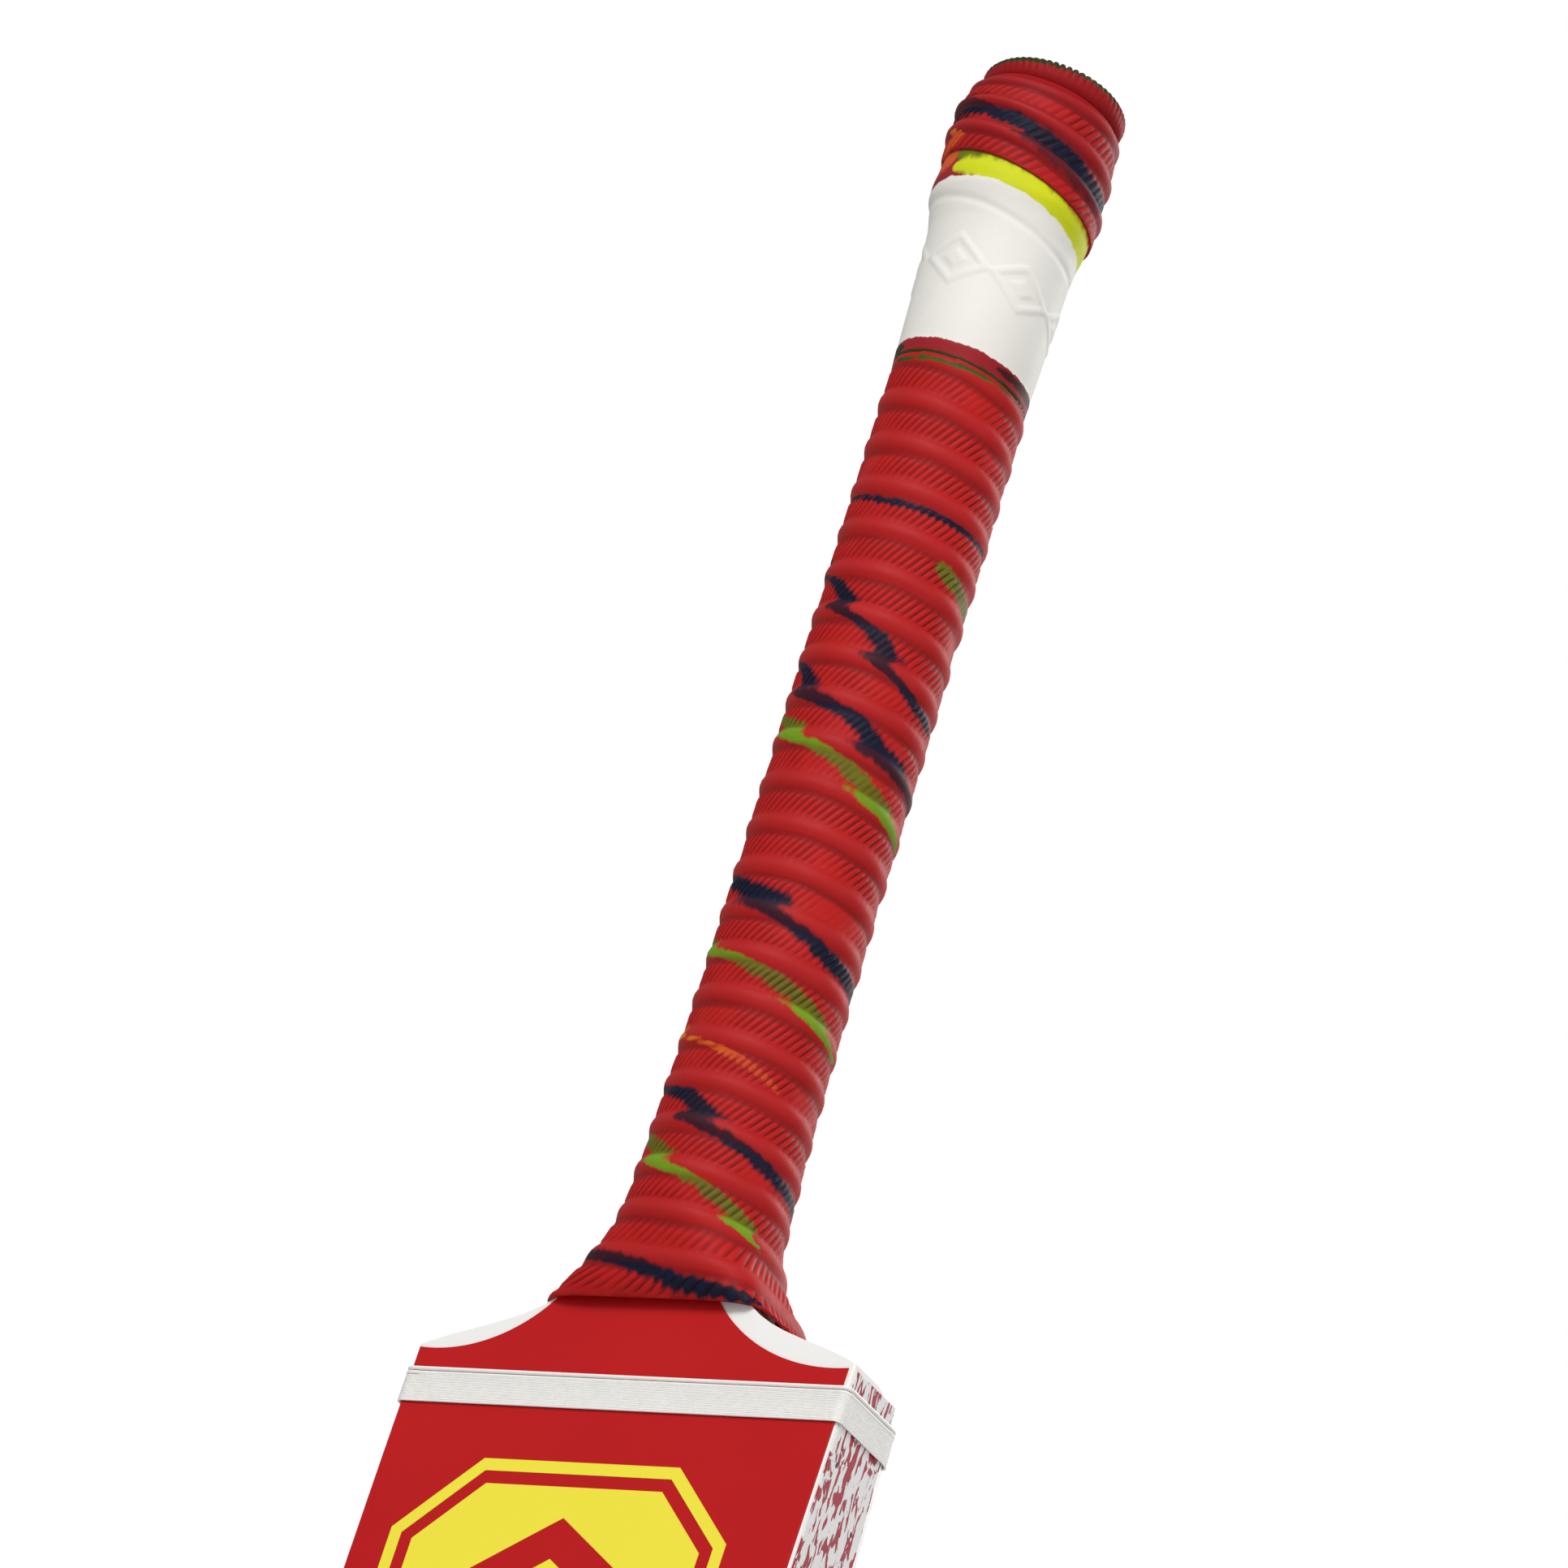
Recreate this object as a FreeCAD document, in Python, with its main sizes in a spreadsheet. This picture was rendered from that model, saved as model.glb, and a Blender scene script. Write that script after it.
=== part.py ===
import FreeCAD, Part
import math
import os

# Full-size cricket bat: a willow blade with a spliced cane handle, rubber grip, thread bindings,
# adhesive labels and a rubber toe guard.  Millimetres.  +Z runs up the handle, the playing face
# looks to -Y, +X is to the right of someone facing it.  The origin is the middle of the toe's
# underside, on the handle's axis.

DIMENSIONS = (
    ("overall_length", 850.0, "toe to top of grip"),
    ("blade_length", 541.0, "toe to shoulder corners"),
    ("blade_width", 107.4, "bare willow, labels make it 108"),
    ("tongue_height", 30.0, "willow beside the handle, above the shoulder corners"),
    ("tongue_half_width", 14.0, "half width where the tongues end"),
    ("face_offset", 10.1, "playing face in front of the handle axis, at toe and shoulders"),
    ("bow_depth", 7.0, "bow of the face, measured from the toe-to-shoulder chord"),
    ("face_corner", 0.8, "rounding where face meets edge"),
    ("back_corner", 3.0, "rounding where edge meets back"),
    ("toe_corner", 20.0, "corner rounding of the toe, seen from the front"),
    ("splice_depth", 150.0, "vee of the handle below the shoulder corners"),
    ("splice_half_width", 13.5, "half width of the vee at its top"),
    ("toe_guard_depth", 3.0, "thickness of the toe rubber"),
    ("cane_foot_radius", 14.3, "cane handle where it leaves the tongues"),
    ("cane_waist_radius", 13.3, "cane handle at its waist"),
    ("cane_top_radius", 13.1, "cane handle at its top"),
    ("cane_waist_height", 100.0, "waist above the shoulder corners"),
    ("cane_slip_width", 9.4, "middle column of cane slips, from side to side"),
    ("spring_thickness", 1.6, "rubber strip between cane layers"),
    ("twine_thickness", 0.7, "one close layer of waxed twine"),
    ("grip_lip", 2.0, "rubber turned over the top of the cane"),
    ("grip_hole_radius", 11.0, "opening in the top of the grip"),
    ("grip_clearance", 0.05, "between rubber and twine"),
    ("label_thickness", 0.3, "printed vinyl label"),
    ("thread_thickness", 0.9, "layered thread around the shoulders"),
    ("thread_top", 5.2, "upper edge of the thread binding below the shoulder corners"),
    ("thread_width", 8.7, "width of the thread binding"),
    ("label_gap", 0.2, "between the labels above and below the thread's middle, each way"),
    ("face_label_half_width", 53.2, "playing face label"),
    ("face_label_length", 205.0, "from the thread binding towards the toe"),
    ("face_label_corner", 14.0, "rounding of its lower corners"),
    ("back_upper_half_width", 47.0, "upper back label"),
    ("back_upper_length", 125.0, "from the thread binding towards the toe"),
    ("back_upper_corner", 30.0, "rounding of its lower corners"),
    ("back_lower_half_width", 42.0, "lower back label"),
    ("back_lower_foot", 170.0, "its lower edge above the toe"),
    ("back_lower_top", 290.0, "its upper edge above the toe"),
    ("back_lower_corner", 16.0, "rounding of its lower corners"),
    ("edge_label_length", 345.0, "edge strips, from the shoulder corners towards the toe"),
    ("edge_label_gap", 1.2, "bare willow above the edge strips"),
)

# Blade sections: height above the toe, edge thickness, thickness at the spine.
BLADE_STATIONS = (
    (0.0, 14.0, 20.2),
    (30.0, 22.5, 34.0),
    (100.0, 33.0, 52.0),
    (190.0, 37.5, 60.0),
    (300.0, 35.5, 54.0),
    (400.0, 31.0, 43.0),
    (470.0, 27.0, 34.5),
    (506.0, 24.2, 30.8),
    (528.0, 22.3, 29.6),
    (541.0, 20.9, 28.8),
    (571.0, 14.4, 21.6),
)

# Grip flare: height above the shoulder corners, half width, half depth, rearward shift of the
# middle and squareness (2 is an ellipse, more is squarer).
FLARE_STATIONS = (
    (12.3, 28.0, 15.4, 3.4, 6.5),
    (15.0, 25.0, 16.0, 2.6, 5.0),
    (20.0, 21.6, 16.4, 1.7, 3.8),
    (26.0, 19.0, 16.7, 0.8, 2.8),
    (32.0, 17.7, 16.8, 0.3, 2.2),
    (38.0, 16.9, 16.9, 0.0, 2.0),
)

# Outside of the round part of the grip: height above the shoulder corners and radius.
GRIP_OUTLINE = (
    (38.0, 16.9),
    (56.0, 16.3),
    (75.0, 15.9),
    (100.0, 15.6),
    (130.0, 15.5),
    (190.0, 15.35),
    (243.0, 15.3),
    (262.0, 15.9),
    (271.0, 16.6),
    (277.0, 18.0),
    (285.0, 18.5),
    (296.0, 18.5),
    (304.0, 17.6),
    (308.3, 15.4),
    (309.0, 13.5),
)

# Hollow upper sides of the shoulder label: across the face, and height above the shoulder corners.
SHOULDER_LABEL_RIGHT = ((52.3, -1.0), (32.0, 2.0), (13.0, 17.0))
SHOULDER_LABEL_LEFT = ((-20.5, 17.0), (-36.0, 2.4), (-53.2, -0.5))

# Flats that ease the shoulders towards the back: where each starts behind the axis, and its lean.
SHOULDER_BEVELS = (
    (0.0, 18.0),
    (4.0, 45.0),
)
BEVEL_REACH = 60.0
PANEL_DEPTH = 80.0

LAYERS = 4
COLUMNS = 3
FLANK_STEPS = 4
RING_POINTS = 24

V = FreeCAD.Vector
doc = FreeCAD.newDocument("cricket_bat")
sheet = doc.addObject("Spreadsheet::Sheet", "Dims")
exports = []


def fill_sheet():
    rows = list(DIMENSIONS)
    for number, (height, edge, spine) in enumerate(BLADE_STATIONS):
        rows.append((f"level_{number}", height, "blade section height"))
        rows.append((f"edge_{number}", edge, "edge thickness there"))
        rows.append((f"spine_{number}", spine, "spine thickness there"))
    for row, (alias, value, note) in enumerate(rows, start=1):
        sheet.set(f"A{row}", alias)
        sheet.set(f"B{row}", repr(value))
        sheet.set(f"C{row}", note)
        sheet.setAlias(f"B{row}", alias)
    doc.recompute()


def dim(alias):
    return float(sheet.get(alias))


def bind(thing, **expressions):
    for prop, expression in expressions.items():
        thing.setExpression(prop.replace("__", "."), expression)
    return thing


def export(thing, label):
    thing.Label = label
    exports.append(thing)
    return thing


def add(kind, name, **properties):
    thing = doc.addObject(kind, name)
    for prop, value in properties.items():
        setattr(thing, prop, value)
    return thing


def cut(name, base, tool):
    return add("Part::Cut", name, Base=base, Tool=tool)


def common(name, base, tool):
    return add("Part::Common", name, Base=base, Tool=tool)


def sketch_on(body, role, name, offset=None):
    sketch = body.newObject("Sketcher::SketchObject", name)
    plane = next(item for item in body.Origin.OriginFeatures if item.Role == role)
    sketch.AttachmentSupport = [(plane, "")]
    sketch.MapMode = "FlatFace"
    if offset:
        sketch.setExpression(".AttachmentOffset.Base.z", offset)
    return sketch


def line(start, end):
    return Part.LineSegment(V(*start, 0), V(*end, 0))


def arc(start, middle, end):
    return Part.Arc(V(*start, 0), V(*middle, 0), V(*end, 0))


def spline(points, closed=False):
    curve = Part.BSplineCurve()
    curve.interpolate([V(*point, 0) for point in points], PeriodicFlag=closed)
    return curve


def polygon(points):
    return [line(a, b) for a, b in zip(points, points[1:] + points[:1])]


def pad_through(body, sketch, length):
    pad = body.newObject("PartDesign::Pad", "Pad")
    pad.Profile = sketch
    pad.Midplane = True
    pad.setExpression("Length", length)
    body.Tip = pad
    return pad


def pocket_through(body, sketch):
    pocket = body.newObject("PartDesign::Pocket", "Pocket")
    pocket.Profile = sketch
    pocket.Type = "ThroughAll"
    pocket.Midplane = True
    body.Tip = pocket
    return pocket


def face_y(height):
    """Playing face: an arc of the given bow between toe and shoulders, straight above them."""
    chord = dim("blade_length")
    bow = dim("bow_depth")
    radius = chord * chord / (8 * bow) + bow / 2
    if height > chord:
        return -dim("face_offset")
    reach = height - chord / 2
    return -dim("face_offset") - bow + radius - math.sqrt(radius * radius - reach * reach)


def section_edges(front, edge, spine, grow=0.0):
    """Closed blade section: flat face, straight edges, bell-shaped back rising to the spine."""
    half = dim("blade_width") / 2 + grow
    near = dim("face_corner") + grow
    far = dim("back_corner") + grow
    low = front - grow
    high = front + edge + grow
    rise = spine - edge
    slant = 1 - math.sqrt(0.5)
    flank = half - far
    back = []
    for step in range(-FLANK_STEPS, FLANK_STEPS + 1):
        share = step / FLANK_STEPS
        back.append((-share * flank, high + rise * (1 - share * share) ** 2))
    return [
        line((-half + near, low), (half - near, low)),
        arc((half - near, low), (half - slant * near, low + slant * near), (half, low + near)),
        line((half, low + near), (half, high - far)),
        arc((half, high - far), (half - slant * far, high - slant * far), (flank, high)),
        spline(back),
        arc((-flank, high), (-half + slant * far, high - slant * far), (-half, high - far)),
        line((-half, high - far), (-half, low + near)),
        arc((-half, low + near), (-half + slant * near, low + slant * near), (-half + near, low)),
    ]


def blade_blank():
    """Willow before splicing: lofted sections, then the shoulders and toe corners cut away."""
    body = add("PartDesign::Body", "BladeBlank")
    sections = []
    for number in range(len(BLADE_STATIONS)):
        sketch = sketch_on(body, "XY_Plane", f"BladeSection{number}", f"Dims.level_{number}")
        front = face_y(dim(f"level_{number}"))
        sketch.addGeometry(section_edges(front, dim(f"edge_{number}"), dim(f"spine_{number}")))
        sections.append(sketch)
    loft = body.newObject("PartDesign::AdditiveLoft", "BladeLoft")
    loft.Profile = sections[0]
    loft.Sections = sections[1:]
    doc.recompute()
    cut_outline(body, shoulder_outline(), "Shoulders")
    bevel_shoulders(body)
    cut_outline(body, toe_outline(), "ToeCorners")
    return body


def bevel_shoulders(body):
    """Rounds both shoulder slopes over to the back in two flats, each a leaning copy of the outline."""
    for number, (start, lean) in enumerate(SHOULDER_BEVELS):
        sketch = sketch_on(body, "XZ_Plane", f"Bevel{number}")
        sketch.AttachmentOffset = FreeCAD.Placement(V(0, 0, -start), FreeCAD.Rotation())
        sketch.addGeometry(shoulder_outline())
        before = body.Shape.Volume
        pocket = body.newObject("PartDesign::Pocket", f"BevelCut{number}")
        pocket.Profile = sketch
        pocket.UseCustomVector = True
        pocket.Direction = V(0, math.cos(math.radians(lean)), -math.sin(math.radians(lean)))
        pocket.AlongSketchNormal = False
        pocket.Length = BEVEL_REACH
        body.Tip = pocket
        doc.recompute()
        assert body.Shape.isValid() and body.Shape.Volume < before


def cut_outline(body, edges, name):
    """Cuts the mirrored pair of regions outside the blade's outline."""
    sketch = sketch_on(body, "XZ_Plane", name)
    sketch.addGeometry(edges)
    doc.recompute()
    before = body.Shape.Volume
    pocket_through(body, sketch)
    doc.recompute()
    assert body.Shape.Volume < before, name


def mirrored(points_to_edges):
    return points_to_edges(1) + points_to_edges(-1)


def shoulder_outline():
    """Each shoulder rises from its corner in a hollow curve to the side of the handle."""
    corner = dim("blade_length")
    top = corner + dim("tongue_height")
    half = dim("blade_width") / 2
    tip = dim("tongue_half_width")
    ceiling = top + BEVEL_REACH
    outside = half + 10

    def side(sign):
        curve = [
            (sign * half, corner),
            (sign * 0.70 * half, corner + 5.8),
            (sign * 0.48 * half, corner + 11.2),
            (sign * 0.33 * half, corner + 20.0),
            (sign * tip, top),
        ]
        return [
            spline(curve),
            line((sign * tip, top), (sign * tip, ceiling)),
            line((sign * tip, ceiling), (sign * outside, ceiling)),
            line((sign * outside, ceiling), (sign * outside, corner)),
            line((sign * outside, corner), (sign * half, corner)),
        ]

    return mirrored(side)


def toe_outline():
    """Quarter rounds at the two corners of the toe."""
    half = dim("blade_width") / 2
    radius = dim("toe_corner")
    slant = radius * (1 - math.sqrt(0.5))
    outside = half + 10

    def side(sign):
        return [
            arc((sign * (half - radius), 0), (sign * (half - slant), slant), (sign * half, radius)),
            line((sign * half, radius), (sign * outside, radius)),
            line((sign * outside, radius), (sign * outside, -5)),
            line((sign * outside, -5), (sign * (half - radius), -5)),
            line((sign * (half - radius), -5), (sign * (half - radius), 0)),
        ]

    return mirrored(side)


def splice_vee():
    """Prism of the vee splice, wide at the tongues and pointed in the blade."""
    body = add("PartDesign::Body", "SpliceVee")
    sketch = sketch_on(body, "XZ_Plane", "VeeOutline")
    top = dim("blade_length") + dim("tongue_height")
    point = dim("blade_length") - dim("splice_depth")
    half = dim("splice_half_width")
    sketch.addGeometry(polygon([(0, point), (half, top), (-half, top)]))
    pad_through(body, sketch, "Dims.blade_width")
    return body


def cone(name, foot_height, foot_radius, top_height, top_radius):
    shape = add("Part::Cone", name)
    bind(shape, Radius1=foot_radius, Radius2=top_radius, Height=f"{top_height} - ({foot_height})")
    return bind(shape, Placement__Base__z=foot_height)


def handle_cones(name, extra, top):
    """Round handle in two tapers, foot to waist and waist to top."""
    foot = "Dims.blade_length + Dims.tongue_height"
    waist = "Dims.blade_length + Dims.cane_waist_height"
    lower = cone(name + "Lower", foot, f"Dims.cane_foot_radius + {extra}",
                 waist, f"Dims.cane_waist_radius + {extra}")
    upper = cone(name + "Upper", waist, f"Dims.cane_waist_radius + {extra}",
                 top, f"Dims.cane_top_radius + {extra}")
    return [lower, upper]


def slab(name, x_low, x_high, y_low, y_high, z_low, z_high):
    box = add("Part::Box", name)
    bind(box, Length=f"{x_high} - ({x_low})", Width=f"{y_high} - ({y_low})")
    bind(box, Height=f"{z_high} - ({z_low})", Placement__Base__x=x_low)
    return bind(box, Placement__Base__y=y_low, Placement__Base__z=z_low)


def handle_pieces(blank, vee):
    """Four layers of three cane slips with a rubber spring between each pair of layers."""
    top = "Dims.overall_length - Dims.grip_lip"
    wedge = common("CaneWedge", blank, vee)
    whole = add("Part::MultiFuse", "CaneBlank", Shapes=[wedge] + handle_cones("Cane", "0", top))
    doc.recompute()
    reach = "30"
    pitch = "Dims.cane_foot_radius / 2"
    half_spring = "Dims.spring_thickness / 2"
    foot = "Dims.blade_length - Dims.splice_depth - 1"
    for layer in range(LAYERS):
        low = f"-{reach}" if layer == 0 else f"{layer - 2} * {pitch} + {half_spring}"
        high = reach if layer == LAYERS - 1 else f"{layer - 1} * {pitch} - {half_spring}"
        for column in range(COLUMNS):
            left = f"-{reach}" if column == 0 else f"({column} - 1.5) * Dims.cane_slip_width"
            right = reach if column == COLUMNS - 1 else f"({column} - 0.5) * Dims.cane_slip_width"
            box = slab(f"SlipBox{layer}{column}", left, right, low, high, foot, top)
            slip = common(f"Slip{layer}{column}", whole, box)
            export(slip, f"cane_slip_{'abcd'[layer]}{column + 1}")
    for gap in range(LAYERS - 1):
        middle = f"{gap - 1} * {pitch}"
        box = slab(f"SpringBox{gap}", f"-{reach}", reach, f"{middle} - {half_spring}",
                   f"{middle} + {half_spring}", foot, top)
        export(common(f"Spring{gap}", whole, box), f"rubber_spring_{gap + 1}")


def handle_binding():
    """Twine wound over the cane from the tongues to the top, as one close sleeve."""
    top = "Dims.overall_length - Dims.grip_lip"
    outer = add("Part::MultiFuse", "TwineOuter", Shapes=handle_cones("TwineOut", "Dims.twine_thickness", top))
    inner = add("Part::MultiFuse", "TwineInner", Shapes=handle_cones("TwineIn", "0", top))
    export(cut("Twine", outer, inner), "handle_binding")


def ring(half_width, half_depth, shift, squareness):
    """Rounded section of the grip's flare, from ellipse to nearly a rectangle."""
    points = []
    for step in range(RING_POINTS):
        angle = 2 * math.pi * (step + 0.5) / RING_POINTS
        across = math.cos(angle)
        along = math.sin(angle)
        size = (abs(across) ** squareness + abs(along) ** squareness) ** (-1 / squareness)
        points.append((half_width * across * size, shift + half_depth * along * size))
    return spline(points, closed=True)


def grip_blank():
    """Outside of the grip: a flare over the shoulders, then a round sleeve with a bulged end."""
    body = add("PartDesign::Body", "GripBlank")
    sections = []
    for number, (height, half_width, half_depth, shift, squareness) in enumerate(FLARE_STATIONS):
        sketch = sketch_on(body, "XY_Plane", f"FlareSection{number}", f"Dims.blade_length + {height}")
        sketch.addGeometry(ring(half_width, half_depth, shift, squareness))
        sections.append(sketch)
    loft = body.newObject("PartDesign::AdditiveLoft", "FlareLoft")
    loft.Profile = sections[0]
    loft.Sections = sections[1:]
    doc.recompute()
    base = dim("blade_length")
    outline = [(radius, base + height) for height, radius in GRIP_OUTLINE]
    sketch = sketch_on(body, "XZ_Plane", "SleeveOutline")
    foot, top = outline[0][1], outline[-1][1]
    sketch.addGeometry([spline(outline), line(outline[-1], (0, top)),
                        line((0, top), (0, foot)), line((0, foot), outline[0])])
    sleeve = body.newObject("PartDesign::Revolution", "Sleeve")
    sleeve.Profile = sketch
    sleeve.ReferenceAxis = (sketch, ["V_Axis"])
    body.Tip = sleeve
    return body


def grip(blank, label):
    """Rubber sleeve: hollow over the twine, the tongues, the shoulders and the label on them."""
    top = "Dims.overall_length - Dims.grip_lip"
    hollow = handle_cones("Hollow", "Dims.twine_thickness + Dims.grip_clearance", top)
    hole = add("Part::Cylinder", "GripHole")
    bind(hole, Radius="Dims.grip_hole_radius", Height="Dims.overall_length")
    core = add("Part::MultiFuse", "GripCore", Shapes=[blank, label] + hollow + [hole])
    export(cut("Grip", grip_blank(), core), "grip")


def moved_copy(name, source, shift):
    """The blade moved by a label's thickness, so that what sticks out is the label's layer."""
    copy = add("Part::Feature", name)
    shape = source.Shape.copy()
    shape.translate(V(*shift))
    copy.Shape = shape
    return copy


def outline_prism(name, edges, y_low, y_high):
    """Prism through the given outline in the plane of the face, between two depths."""
    body = add("PartDesign::Body", name)
    sketch = sketch_on(body, "XZ_Plane", name + "Outline", f"-({y_low})")
    sketch.addGeometry(edges)
    pad = body.newObject("PartDesign::Pad", name + "Pad")
    pad.Profile = sketch
    pad.Reversed = True
    pad.Length = y_high - y_low
    body.Tip = pad
    doc.recompute()
    box = body.Shape.BoundBox
    assert abs(box.YMin - y_low) < 0.01 and abs(box.YMax - y_high) < 0.01, name
    return body


def rounded_panel(half_width, low, high, radius):
    """Rectangle with rounded lower corners."""
    slant = radius * (1 - math.sqrt(0.5))
    return [
        line((-half_width, low + radius), (-half_width, high)),
        line((-half_width, high), (half_width, high)),
        line((half_width, high), (half_width, low + radius)),
        arc((half_width, low + radius), (half_width - slant, low + slant), (half_width - radius, low)),
        line((half_width - radius, low), (-half_width + radius, low)),
        arc((-half_width + radius, low), (-half_width + slant, low + slant), (-half_width, low + radius)),
    ]


def thread_middle():
    return dim("blade_length") - dim("thread_top") - dim("thread_width") / 2


def shoulder_label_outline():
    """Red panel between grip and thread: level foot, hollow upper sides, set a little to the left."""
    corner = dim("blade_length")
    foot = thread_middle() + dim("label_gap")
    right = [(across, corner + height) for across, height in SHOULDER_LABEL_RIGHT]
    left = [(across, corner + height) for across, height in SHOULDER_LABEL_LEFT]
    foot_left = (left[-1][0], foot)
    foot_right = (right[0][0], foot)
    return [line(foot_left, foot_right), line(foot_right, right[0]), arc(*right),
            line(right[-1], left[0]), arc(*left), line(left[-1], foot_left)]


def labels(blank):
    """Vinyl labels: shoulder and playing face, both edges, two on the back."""
    thick = dim("label_thickness")
    top = thread_middle() - dim("label_gap")
    face = rounded_panel(dim("face_label_half_width"), top - dim("face_label_length"), top,
                         dim("face_label_corner"))
    back_upper = rounded_panel(dim("back_upper_half_width"), top - dim("back_upper_length"), top,
                               dim("back_upper_corner"))
    back_lower = rounded_panel(dim("back_lower_half_width"), dim("back_lower_foot"),
                               dim("back_lower_top"), dim("back_lower_corner"))
    forward = moved_copy("BladeForward", blank, (0, -thick, 0))
    rearward = moved_copy("BladeRearward", blank, (0, thick, 0))
    panels = (
        ("shoulder_label", forward, shoulder_label_outline(), -PANEL_DEPTH, 0),
        ("face_label", forward, face, -PANEL_DEPTH, 0),
        ("back_label_upper", rearward, back_upper, 0, PANEL_DEPTH),
        ("back_label_lower", rearward, back_lower, 0, PANEL_DEPTH),
    )
    made = []
    for label, moved, outline, y_low, y_high in panels:
        prism = outline_prism(label + "_prism", outline, y_low, y_high)
        layer = common(label + "_layer", moved, prism)
        made.append(export(cut(label + "_cut", layer, blank), label))
    return made


def thickness_at(height):
    """Edge and spine thickness at a height, between the two nearest blade sections."""
    levels = [dim(f"level_{number}") for number in range(len(BLADE_STATIONS))]
    above = next(number for number, level in enumerate(levels) if height <= level)
    share = (height - levels[above - 1]) / (levels[above] - levels[above - 1])
    return [dim(f"{part}_{above - 1}") * (1 - share) + dim(f"{part}_{above}") * share
            for part in ("edge", "spine")]


def edge_outline(low, high):
    """Side view of an edge label: it follows the bowed face and the swelling back corner."""
    levels = [dim(f"level_{number}") for number in range(len(BLADE_STATIONS))]
    heights = [low] + [level for level in levels if low < level < high] + [high]
    near = [(face_y(height) + dim("face_corner"), height) for height in heights]
    inset = dim("back_corner") + dim("label_thickness")
    far = [(face_y(height) + thickness_at(height)[0] - inset, height) for height in heights]
    return [spline(near), line(near[-1], far[-1]), spline(far[::-1]), line(far[0], near[0])]


def edge_labels():
    """Printed strips along both edges, from the shoulder corner down."""
    corner = dim("blade_length")
    made = []
    for label, sign in (("edge_label_left", -1), ("edge_label_right", 1)):
        body = add("PartDesign::Body", label + "_body")
        sketch = sketch_on(body, "YZ_Plane", label + "_outline", f"{sign} * Dims.blade_width / 2")
        sketch.addGeometry(edge_outline(corner - dim("edge_label_length"), corner - dim("edge_label_gap")))
        pad = body.newObject("PartDesign::Pad", label + "_pad")
        pad.Profile = sketch
        pad.Reversed = sign < 0
        bind(pad, Length="Dims.label_thickness")
        body.Tip = pad
        made.append(export(body, label))
    return made


def blade_binding(blank, covered):
    """Thread wound round the shoulders over the labels, glued into one band."""
    high = dim("blade_length") - dim("thread_top")
    low = high - dim("thread_width")
    body = add("PartDesign::Body", "ThreadBlank")
    sections = []
    for number, height in enumerate((low, (low + high) / 2, high)):
        sketch = sketch_on(body, "XY_Plane", f"ThreadSection{number}")
        sketch.AttachmentOffset = FreeCAD.Placement(V(0, 0, height), FreeCAD.Rotation())
        edge, spine = thickness_at(height)
        sketch.addGeometry(section_edges(face_y(height), edge, spine, dim("thread_thickness")))
        sections.append(sketch)
    loft = body.newObject("PartDesign::AdditiveLoft", "ThreadLoft")
    loft.Profile = sections[0]
    loft.Sections = sections[1:]
    body.Tip = loft
    doc.recompute()
    core = add("Part::MultiFuse", "ThreadCore", Shapes=[blank] + covered)
    export(cut("Thread", body, core), "blade_binding")


def toe_and_blade(blank, vee):
    """The toe rubber takes the lowest slice of the blade's outline; the rest is willow."""
    slice_box = slab("ToeSlice", "-80", "80", "-80", "80", "-1", "Dims.toe_guard_depth")
    export(common("ToeRubber", blank, slice_box), "toe_guard")
    removed = add("Part::MultiFuse", "Removed", Shapes=[vee, slice_box])
    export(cut("Blade", blank, removed), "blade")


def check_and_write():
    doc.recompute()
    for thing in doc.Objects:
        assert "Invalid" not in thing.State and "Error" not in thing.State, thing.Label
    os.makedirs("parts", exist_ok=True)
    for thing in exports:
        shape = thing.Shape
        assert not shape.isNull() and shape.isValid(), thing.Label
        box = shape.BoundBox
        print(f"{thing.Label:20s} solids {len(shape.Solids)} volume {shape.Volume:10.1f} "
              f"x {box.XMin:7.2f} {box.XMax:7.2f} y {box.YMin:7.2f} {box.YMax:7.2f} "
              f"z {box.ZMin:7.2f} {box.ZMax:7.2f}")
        shape.exportStep(f"parts/{thing.Label}.step")


fill_sheet()
willow = blade_blank()
splice = splice_vee()
doc.recompute()
toe_and_blade(willow, splice)
handle_pieces(willow, splice)
handle_binding()
doc.recompute()
covered_labels = labels(willow) + edge_labels()
doc.recompute()
grip(willow, covered_labels[0])
doc.recompute()
blade_binding(willow, covered_labels)
check_and_write()
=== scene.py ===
import math
import random

import bmesh
import bpy
import numpy as np
from mathutils import Matrix, Vector
from mathutils.bvhtree import BVHTree


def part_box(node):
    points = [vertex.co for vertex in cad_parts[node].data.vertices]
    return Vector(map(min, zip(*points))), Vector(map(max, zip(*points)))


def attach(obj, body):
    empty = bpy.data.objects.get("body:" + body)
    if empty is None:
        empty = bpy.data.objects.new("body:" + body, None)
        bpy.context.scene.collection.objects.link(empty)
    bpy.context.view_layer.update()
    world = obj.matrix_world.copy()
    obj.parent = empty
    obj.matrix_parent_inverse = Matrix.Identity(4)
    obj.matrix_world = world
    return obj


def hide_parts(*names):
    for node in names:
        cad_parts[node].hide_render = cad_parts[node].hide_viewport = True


# A full-size cricket bat, in looks: moulded rubber grip, waxed thread, printed vinyl and willow.
# Lengths are millimetres until a mesh is made; heights in the handle are counted from the
# shoulder corners, and angles round the handle run from +X towards +Y.

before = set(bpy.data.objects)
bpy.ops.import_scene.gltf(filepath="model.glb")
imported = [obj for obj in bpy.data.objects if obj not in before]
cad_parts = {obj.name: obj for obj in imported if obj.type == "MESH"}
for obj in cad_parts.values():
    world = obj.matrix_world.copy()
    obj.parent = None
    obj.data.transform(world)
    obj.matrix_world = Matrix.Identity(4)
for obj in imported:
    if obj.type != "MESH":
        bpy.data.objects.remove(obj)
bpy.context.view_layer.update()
MM = 0.001

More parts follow.
